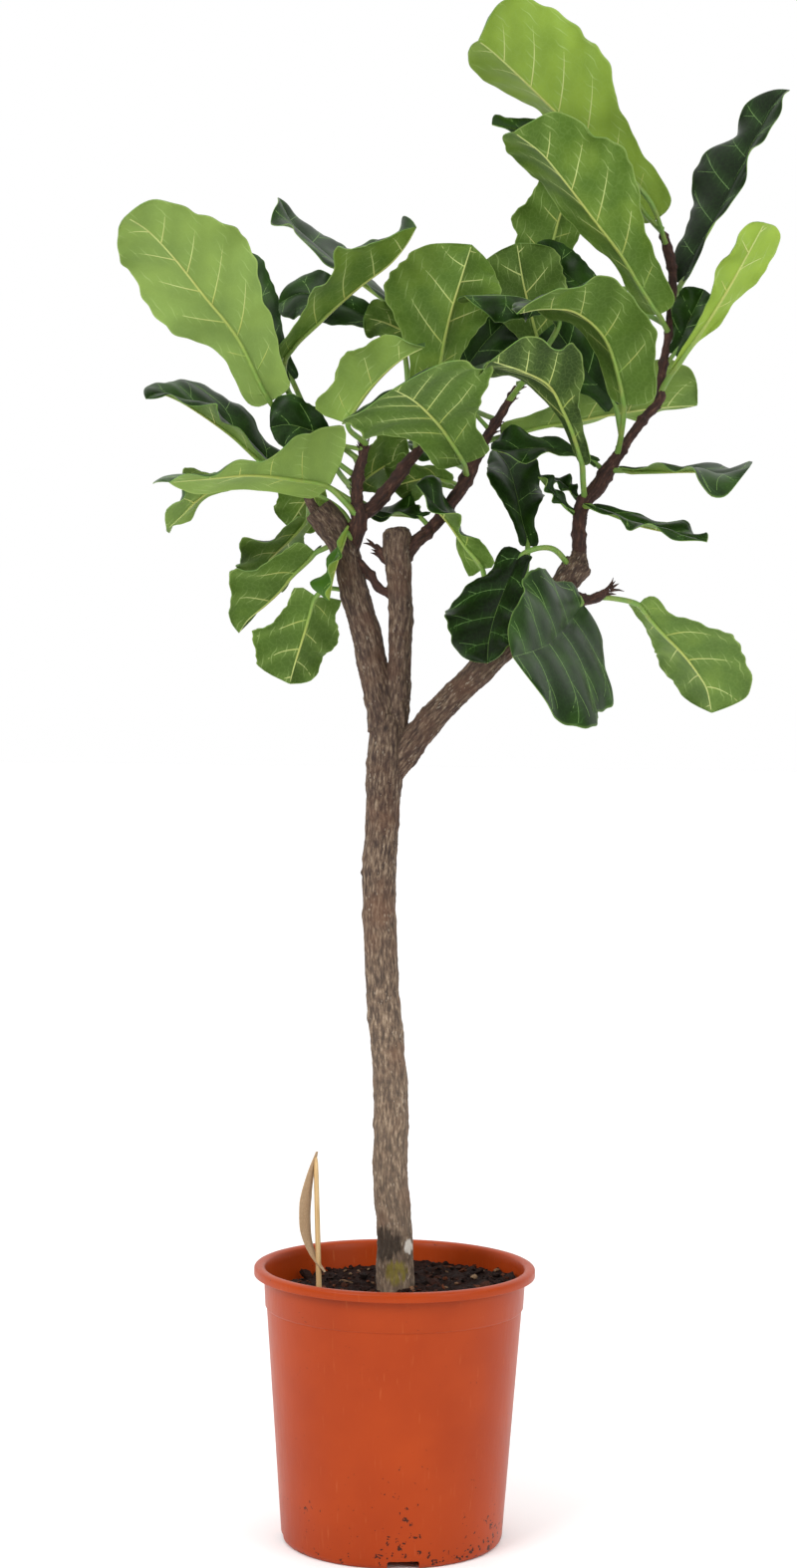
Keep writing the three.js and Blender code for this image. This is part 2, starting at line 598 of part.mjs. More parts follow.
const LEAVES = [
  // the shoots on the left limb
  ["leaf_01", ["left_twig", 1.6], [[-78, 1042, 14], [-112, 1070, 14]],
    [[-129, 1089, 2], [-161, 1150, -12], [-192, 1188, -30], [-223, 1226, -52], [-247, 1250, -72],
      [-268, 1263, -92]],
    [BACK, [0.2, 1, 0.3]], [[82, 80, 71, 54, 26], [60, 62, 64, 50, 34]], [8, 18]],
  ["leaf_02", ["left_twig", 0.9], [[-62, 1022, 40], [-90, 1072, 75]],
    [[-108, 1110, 85], [-128, 1150, 100], [-150, 1195, 120], [-166, 1230, 140]],
    [FRONT], [45, 26], [15, 15]],
  ["leaf_03", ["centre_twig", 6], [[20, 1100, 60], [10, 1150, 75]],
    [[-6, 1176, 80], [-35, 1198, 95], [-65, 1218, 115], [-94, 1240, 140], [-112, 1262, 160],
      [-122, 1282, 175]],
    [[0.5, 0, 0.8]], [[50, 52, 50, 36, 16], [60, 64, 64, 46, 20]], [-6, 18]],
  ["leaf_04", ["left_twig", 2.5], [[-80, 1064, 22], [-112, 1100, 30]],
    [[-114, 1131, 30], [-80, 1168, 10], [-45, 1199, -12], [-16, 1221, -30], [0, 1240, -45],
      [9, 1256, -60]],
    [[-0.7, 0, 0.7]], [[60, 60, 52, 44, 30], [60, 60, 60, 64, 40]], [36, 30]],
  ["leaf_05", ["centre_twig", 5], [[4, 1095, 45]],
    [[-5, 1146, 56], [-38, 1171, 54], [-75, 1187, 56], [-100, 1192, 64], [-121, 1182, 76]],
    [[0, -0.85, 0.5]], [36, [34, 22, 20, 24, 20]], [10, 10]],
  ["leaf_06", ["hub", 3], [[-80, 1012, 22]],
    [[-125, 1025, 32], [-165, 1057, 30], [-198, 1079, 20], [-218, 1090, 5], [-235, 1095, -10],
      [-247, 1090, -25]],
    [[0.5, 0, 0.85]], [[62, 60, 52, 26, 10], [80, 82, 70, 28, 10]], [10, [48, 40, 22, 12]]],
  ["leaf_07", ["left_twig", 3.4], [],
    [[-62, 1049, -3], [-90, 1062, -9], [-112, 1067, -12], [-128, 1064, -12]],
    [FRONT], [27, 28], [8, 8]],
  ["leaf_08", ["hub", 2], [[-58, 996, -8]],
    [[-72, 1008, -16], [-105, 1015, -40], [-145, 1019, -75], [-185, 1015, -115], [-223, 1011, -150]],
    [[0, 1, 0.1], [0, 0.7, 0.6], [0, 0.15, 1]], [[200, 105, 20, 16, 16], [72, 72, 72, 66, 50]],
    [[0, 10], [46, 12]]],
  ["leaf_09", ["hub", 1.2], [[-62, 988, 14], [-105, 1008, 6]],
    [[-150, 1013, 6], [-182, 1005, -2], [-200, 992, -14], [-213, 978, -26], [-226, 966, -36]],
    [[-0.3, 0.5, 0.8]], [[40, 40, 40, 32, 16], [42, 42, 42, 34, 16]], [15, 15]],
  ["leaf_10", ["left_twig", 4], [],
    [[-54, 1069, -48], [-40, 1094, -62], [-22, 1115, -76], [-3, 1131, -90], [18, 1142, -106]],
    [[-0.1, 0.85, 0.5]], [[70, 68, 62, 38, 12], [112, 78, 44, 24, 8]], [75, 22]],
  ["leaf_36", ["left_limb", 6], [[-74, 950, 16]],
    [[-84, 945, 22], [-95, 934, 32], [-106, 923, 40], [-118, 908, 52], [-131, 895, 62], [-148, 880, 76],
      [-156, 868, 84]],
    [[-0.2, 0.8, 0.6]], [[70, 64, 56, 36, 12], 50], [5, 60]],
  ["leaf_37", ["left_limb", 4], [[-72, 911, 14]],
    [[-83, 903, 18], [-89, 885, 28], [-93, 870, 36], [-98, 853, 46], [-103, 836, 58],
      [-107, 820, 66]],
    [[0, 0.9, 0.4]], [[70, 60, 52, 44, 40], [85, 72, 42, 28, 26]], [5, 20]],
  ["leaf_38", ["left_limb", 8], [[-90, 990, 40]],
    [[-92, 978, 62], [-106, 960, 78], [-126, 940, 98], [-141, 922, 114]],
    [[-0.4, 0.4, 0.8]], [38, 40], [10, 10]],
  ["leaf_39", ["hub", 0.6], [],
    [[-54, 965, -10], [-60, 948, -18], [-66, 925, -24], [-70, 900, -28]],
    [[-0.9, -0.2, 0.2]], [[22, 26, 26, 16, 12], [22, 26, 26, 24, 18]], [20, 20]],
  ["leaf_40", ["centre_twig", 0.8], [[-44, 997, 32]],
    [[-50, 1004, 44], [-40, 1014, 56], [-20, 1028, 72], [5, 1040, 88]],
    [[0, 0.8, 0.6]], [34, 34], [10, 10]],
  ["leaf_41", ["left_twig", 2.1], [[-52, 1042, 36], [-66, 1044, 66]],
    [[-76, 1028, 80], [-88, 1005, 90], [-100, 985, 100], [-110, 970, 108]],
    [[-0.2, 0.9, 0.3]], [26, 28], [10, 10]],
  // the shoot on the middle limb
  ["leaf_11", ["side_shoot", 5], [],
    [[57, 1032, 0], [38, 1062, -45], [24, 1078, -90], [8, 1092, -140], [-11, 1102, -190]],
    [[-0.24, 0.41, 0.88]], [[90, 75, 72, 76, 60], [80, 72, 70, 70, 50]], [5, 2]],
  ["leaf_12", ["side_shoot", 6], [[56, 1066, 12]],
    [[33, 1098, 0], [35, 1135, -10], [43, 1175, -20], [53, 1210, -18], [62, 1240, 5]],
    [BACK], [[50, 46, 44, 44, 42], [76, 86, 78, 62, 40]], [18, 12]],
  ["leaf_13", ["side_shoot", 10], [[126, 1116, 66]],
    [[131, 1130, 76], [122, 1165, 84], [112, 1203, 88], [105, 1242, 88]],
    [BACK], [44, 42], [10, 10]],
  ["leaf_14", ["side_shoot", 9.2], [[126, 1130, 14]],
    [[146, 1170, 14], [115, 1189, -14], [86, 1192, -44], [56, 1191, -72]],
    [[0.2, -0.9, 0.4]], [[36, 36, 34, 32, 28], 30], [5, -65]],
  ["leaf_24", ["side_shoot", 7], [],
    [[93, 1058, 48], [130, 1068, 63], [165, 1074, 72], [200, 1081, 80], [240, 1087, 91], [279, 1090, 104]],
    [[0, 0.75, 0.65]], [44, [42, 44, 46, 50, 60]], [[48, 44], [16, 10]]],
  ["leaf_34", ["right_limb", 4.4], [[78, 900, -8]],
    [[76, 932, -12], [60, 953, -16], [45, 973, -22], [30, 990, -32], [12, 1011, -46]],
    [[0.2, 0.8, 0.3], [0, -0.3, 1], [0.3, -0.7, 0.7]], [[40, 40, 28, 22, 20], [60, 60, 58, 42, 24]],
    [15, 15]],
  ["leaf_35", ["side_shoot", 2.2], [],
    [[16, 980, 18], [4, 982, 38], [-12, 982, 62], [-28, 985, 88]],
    [[0, -0.4, 0.9]], [34, 34], [12, 12]],
  ["leaf_43", ["side_shoot", 8.2], [[62, 1086, 78]],
    [[50, 1102, 94], [70, 1140, 106], [95, 1168, 112], [110, 1186, 118]],
    [FRONT], [38, 38], [12, 12]],
  ["leaf_45", ["side_shoot", 4.4], [],
    [[46, 1014, 36], [25, 1018, 52], [2, 1013, 70], [-12, 1008, 82]],
    [[0, 0.8, 0.6]], [28, 28], [12, 12]],
  ["leaf_46", ["side_shoot", 7.6], [[58, 1092, 34], [42, 1132, 26]],
    [[22, 1150, 24], [-4, 1159, 22], [-22, 1166, 20], [-40, 1170, 18]],
    [[0, 0.8, 0.6]], [22, 22], [12, 12]],
  ["leaf_48", ["side_shoot", 5.4], [[62, 1024, 78]],
    [[52, 1030, 100], [38, 1036, 112], [20, 1045, 122], [0, 1050, 134]],
    [[0, -0.3, 1]], [40, 40], [10, 10]],
  // the long shoot on the right limb
  ["leaf_15", ["right_shoot", 6], [[207, 1062, 18]],
    [[209, 1090, 2], [203, 1120, -14], [193, 1148, -32], [181, 1164, -52], [160, 1178, -76],
      [131, 1180, -108], [106, 1175, -140]],
    [[0.4, 0.9, 0.2], [0.1, 0.5, 0.85]], [[98, 100, 54, 36, 22], [60, 72, 70, 44, 14]], [12, 34]],
  ["leaf_16", ["right_shoot", 3.2], [[171, 1018, 8]],
    [[170, 1032, 0], [162, 1060, -18], [151, 1085, -45], [138, 1107, -76], [114, 1120, -112],
      [82, 1130, -148]],
    [[0.3, 0.9, 0.2], [0.2, 0.6, 0.8]], [[30, 26, 38, 46, 34], [16, 44, 76, 72, 18]], [18, [46, 30, 8]]],
  ["leaf_17", ["right_shoot", 12], [],
    [[241, 1176, 42], [222, 1205, 26], [205, 1232, 12], [178, 1266, -4], [147, 1305, -26], [128, 1327, -42],
      [101, 1347, -72]],
    [[0.3, 0.9, 0.2]], [[70, 66, 64, 56, 24], [66, 66, 62, 50, 34]], [8, [40, 54, 44]]],
  ["leaf_18", ["right_shoot", 16], [],
    [[234, 1264, 68], [215, 1290, 60], [185, 1325, 46], [150, 1358, 28], [100, 1405, 0], [77, 1425, -22],
      [66, 1433, -44]],
    [[0.4, 0.8, 0.4], [0.3, 0.8, 0.45], [-0.6, 0.6, 0.5]], [[90, 80, 72, 74, 56], [76, 76, 64, 48, 20]],
    [12, [40, 54, 40]]],
  ["leaf_19", ["right_shoot", 13.5], [[200, 1200, 114], [150, 1206, 126]],
    [[137, 1222, 126], [141, 1250, 123], [151, 1285, 113], [165, 1320, 102]],
    [BACK], [[70, 55, 30, 22, 22], [110, 100, 44, 30, 28]], [10, 10]],
  ["leaf_20", ["right_shoot", 15], [[232, 1282, 44], [204, 1312, 26]],
    [[182, 1328, 18], [140, 1336, 2], [105, 1350, -14], [80, 1354, -28]],
    [[0, -0.7, 0.7]], [16, 20], [10, 10]],
  ["leaf_21", ["right_shoot", 13], [],
    [[263, 1207, 76], [276, 1236, 86], [292, 1265, 98], [306, 1292, 110], [321, 1325, 124], [338, 1358, 138],
      [349, 1378, 147], [362, 1390, 153]],
    [[-0.6, -0.7, 0.4]], [[60, 62, 56, 36, 24], [30, 28, 24, 22, 24]], [5, 25]],
  ["leaf_22", ["right_shoot", 9.4], [],
    [[254, 1120, 44], [270, 1144, 38], [288, 1170, 30], [308, 1203, 20], [326, 1236, 4], [341, 1264, -14]],
    [[-0.2, 0.8, 0.6]], [[14, 40], [12, 20]], [20, 20]],
  ["leaf_23", ["right_shoot", 10.6], [],
    [[257, 1140, 60], [270, 1170, 56], [284, 1200, 50]],
    [FRONT], [22, 24], [10, 10]],
  ["leaf_25", ["right_shoot", 5], [],
    [[182, 1034, 38], [165, 1042, 36], [130, 1048, 28], [98, 1045, 20], [83, 1046, 16]],
    [[0, -0.55, 0.83]], [28, 28], [10, 10]],
  ["leaf_26", ["right_shoot", 5.2], [],
    [[210, 1027, 24], [240, 1027, 14], [280, 1027, 0], [305, 1025, -10], [330, 1032, -22]],
    [UP], [46, 54], [12, [10, 0, -35]]],
  ["leaf_27", ["right_shoot", 3], [],
    [[178, 993, 12], [195, 988, 0], [225, 976, -22], [258, 968, -50], [290, 960, -82]],
    [[0, -0.2, 1]], [[38, 38, 34, 22, 10], [38, 38, 34, 22, 10]], [6, 8]],
  ["leaf_28", ["right_shoot", 2.6], [],
    [[160, 988, 20], [150, 997, 16], [139, 1008, 10], [128, 1020, 2]],
    [[-0.4, -0.5, 0.7]], [12, 12], [20, 20]],
  ["leaf_32", ["right_shoot", 12.2], [],
    [[225, 1178, 84], [190, 1190, 98], [150, 1215, 106], [125, 1243, 108]],
    [FRONT], [25, 22], [8, 4]],
  ["leaf_44", ["right_shoot", 6.5], [[205, 1070, 38]],
    [[200, 1090, 36], [178, 1115, 36], [155, 1145, 38], [140, 1165, 40]],
    [FRONT], [40, 40], [10, 10]],
  ["leaf_47", ["right_shoot", 3.5], [],
    [[166, 1000, 35], [158, 1009, 41], [150, 1015, 47], [141, 1018, 53]],
    [[0, -0.3, 1]], [14, 14], [15, 15]],
  // low on the right limb
  ["leaf_29", ["right_limb", 6], [[116, 915, 24]],
    [[119, 955, 34], [113, 980, 50], [106, 1010, 76], [99, 1030, 96], [88, 1044, 116]],
    [[0.3, -0.8, 0.6]], [[30, 34, 34, 26, 14], [30, 34, 34, 26, 14]], [12, 12]],
  ["leaf_30", ["right_limb", 8.5], [[142, 952, -2]],
    [[114, 946, -22], [103, 925, -40], [96, 908, -56], [88, 885, -80], [83, 862, -108], [82, 842, -136]],
    [[-0.1, -0.8, 0.6]], [[38, 38, 34, 28, 20], [54, 56, 52, 40, 24]], [8, 8]],
  ["leaf_31", ["low_shoot", 1.2], [],
    [[171, 900, -22], [162, 885, -50], [154, 874, -80], [139, 860, -125], [123, 853, -162], [106, 848, -204]],
    [[0.84, -0.39, 0.34]], [[95, 172, 98, 78, 54], [60, 125, 78, 50, 26]], [8, 5]],
  ["leaf_33", ["right_limb", 7.4], [[176, 906, 30], [202, 905, 44]],
    [[226, 899, 60], [238, 885, 74], [251, 871, 88], [268, 854, 105], [283, 835, 122], [292, 820, 136],
      [297, 797, 152]],
    [[0, 0.75, 0.65]], [50, [50, 56, 56, 50, 44]], [40, 5]],
];

const plant = new THREE.Group();
plant.add(pot(), soil(), body("trunk", trunkSolid, BARK), labelStick(), labelCard());
for (const row of LEAVES) plant.add(leaf(...row));

export default plant;
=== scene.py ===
# A fiddle leaf fig (Ficus lyrata) grown as a small standard tree, in a terracotta-coloured nursery pot.
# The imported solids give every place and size. This script gives the pieces their grown and moulded shapes
# and their finishes. Lengths in the tables are millimetres; meshes are built in metres.
import math
import random

import bpy
import numpy as np
from mathutils import Matrix, Vector, noise
from mathutils.kdtree import KDTree


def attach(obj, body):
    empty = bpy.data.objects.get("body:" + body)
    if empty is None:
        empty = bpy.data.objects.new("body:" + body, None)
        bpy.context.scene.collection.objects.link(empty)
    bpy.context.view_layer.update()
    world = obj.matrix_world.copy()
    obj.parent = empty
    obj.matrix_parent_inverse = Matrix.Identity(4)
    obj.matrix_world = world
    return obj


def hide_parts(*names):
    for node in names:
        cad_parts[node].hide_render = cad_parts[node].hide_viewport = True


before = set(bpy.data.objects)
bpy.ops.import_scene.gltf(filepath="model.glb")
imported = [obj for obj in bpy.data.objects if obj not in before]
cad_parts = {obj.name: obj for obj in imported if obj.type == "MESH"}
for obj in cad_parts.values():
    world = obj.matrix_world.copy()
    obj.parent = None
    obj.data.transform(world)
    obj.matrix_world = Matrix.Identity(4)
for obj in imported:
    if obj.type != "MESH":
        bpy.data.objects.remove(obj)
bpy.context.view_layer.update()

MM = 0.001

# ---- sizes, as in the part's source ---------------------------------------------------------------------
POT_HEIGHT = 263
RIM_RADIUS = 135
RIM_DEPTH = 9
RIM_WIDTH = 10.4
WALL = 2.2
WALL_RADIUS_TOP = 125.6
STEP_HEIGHT = 224
STEP_RADIUS = 124
STEP_INSET = 1.4
FOOT_RADIUS = 106.5
FOOT_ROUND = 7.5
SKIRT_HEIGHT = 9.5
FLOOR_THICKNESS = 2.5
BOSS_RADIUS = 15
NOTCH_WIDTH = 30
NOTCH_HEIGHT = 7.6
NOTCH_DEPTH = 24
NOTCH_COUNT = 4
NOTCH_TURN = 6
DRAIN_RADIUS = 6
DRAIN_RING = 62
DRAIN_COUNT = 8
SOIL_LEVEL = 240
SOIL_SLOPE = 0.06
TRUNK_FOOT = 165
TRUNK_RADIUS = 18
BLADE_THICKNESS = 0.8
STALK_RADIUS = 3
# how far a blade's ears reach back beside the stalk, and how high its margin waves
EAR = 9
RIPPLE = 5
STICK_RADIUS = 2.6
STICK_FOOT = (-71, 195, -45)
STICK_HEAD = (-77, 366, -45)
TAG_WIDTH = 24
TAG_THICKNESS = 0.7
TAG_ROUTE = (
    (-76, 371, -45), (-81, 350, -45), (-85, 322, -45), (-84, 292, -45), (-77, 270, -45), (-67, 255, -45),
)

# ---- routes of the wood: across, up, depth, radius ------------------------------------------------------
WOOD = {
    "trunk": [(1, TRUNK_FOOT, 0, TRUNK_RADIUS + 1), (1, 243, 0, TRUNK_RADIUS), (-1, 300, 0, 17),
        (-5, 349, 0, 16.5), (-5, 416, 0, 16.5), (-9, 470, 0, 16), (-14, 521, 0, 16), (-17, 570, 0, 16),
        (-19, 610, 0, 16), (-19, 645, 0, 17), (-17, 680, 0, 16), (-16, 715, 0, 16.5), (-15, 745, 0, 18),
        (-13, 775, 0, 17), (-10, 795, 0, 13)],
    "left_limb": [(-14, 745, 0, 13), (-18, 790, 0, 14.5), (-26, 830, 2, 14), (-36, 875, 5, 14),
        (-46, 908, 8, 13.5), (-52, 935, 10, 13), (-60, 958, 12, 14), (-72, 976, 14, 15.5),
        (-82, 988, 14, 15)],
    "middle_limb": [(-6, 765, 0, 10), (-3, 800, -2, 11), (-2, 840, -4, 10.5), (-1.5, 880, -5, 11),
        (-3, 920, -6, 11.5), (-6, 948, -6, 13), (-6, 966, -6, 13)],
    "right_limb": [(-8, 738, 0, 12), (5, 756, -2, 14), (20, 777, -6, 13), (40, 800, -10, 12.5),
        (60, 820, -15, 12), (80, 840, -20, 13), (110, 868, -8, 11), (140, 900, 8, 11), (158, 924, 18, 13),
        (168, 938, 22, 14)],
    "hub": [(-52, 940, 10, 7), (-46, 962, 8, 8), (-42, 978, 6, 8), (-45, 992, 5, 7)],
    "left_twig": [(-44, 986, 6, 7), (-45, 1005, 4, 5.5), (-43, 1025, 2, 5), (-39, 1040, 0, 4),
        (-37, 1050, -2, 2.2)],
    "centre_twig": [(-42, 980, 8, 7), (-28, 991, 12, 7), (-17, 1004, 15, 6.5), (-8, 1016, 18, 6),
        (2, 1030, 20, 6), (12, 1042, 22, 5), (18, 1048, 24, 3)],
    "stub_shoot": [(-84, 984, 14, 5), (-92, 999, 16, 3.8), (-94, 1015, 18, 3)],
    "side_shoot": [(2, 944, -4, 8), (12, 957, -2, 6.5), (23, 966, 4, 5.5), (38, 984, 10, 6),
        (51, 1003, 16, 6.5), (60, 1018, 22, 6.5), (68, 1036, 28, 5.5), (76, 1053, 34, 5),
        (86, 1070, 40, 4.5), (97, 1088, 46, 4), (108, 1108, 52, 3)],
    "side_bud": [(-8, 934, -5, 4.5), (-19, 941, -6, 4), (-23, 949, -6, 3.2), (-28, 954, -6, 2)],
    "cross_twig": [(-52, 946, 8, 3.5), (-40, 936, 2, 3.2), (-31, 925, -2, 4), (-23, 913, -4, 4),
        (-8, 905, -6, 3.5)],
    "right_shoot": [(168, 934, 22, 9), (168, 955, 22, 6.5), (168, 975, 22, 6.5), (170, 992, 24, 7),
        (185, 1011, 28, 8), (193, 1024, 31, 7), (203, 1040, 34, 5.5), (214, 1057, 38, 4.5),
        (229, 1078, 44, 4.5), (242, 1093, 50, 4.5), (244, 1112, 54, 4), (247, 1135, 58, 4),
        (251, 1158, 62, 4), (254, 1190, 66, 4), (253, 1220, 70, 4.5), (248, 1240, 72, 5),
        (243, 1256, 74, 3)],
    "low_shoot": [(158, 922, 14, 7), (165, 908, -2, 5), (177, 903, -8, 4.5), (189, 908, -10, 4.5),
        (199, 915, -10, 1.6)],
}

# ---- table of leaves ------------------------------------------------------------------------------------
# Each leaf: the twig and the place on it, the stalk's own points, the midrib's points to the tip, which way
# the upper face looks, then the half width and fold of its left and right halves.
BACK = [0, 1, 0.2]
FRONT = [0, -1, 0.2]
UP = [0, 0, 1]

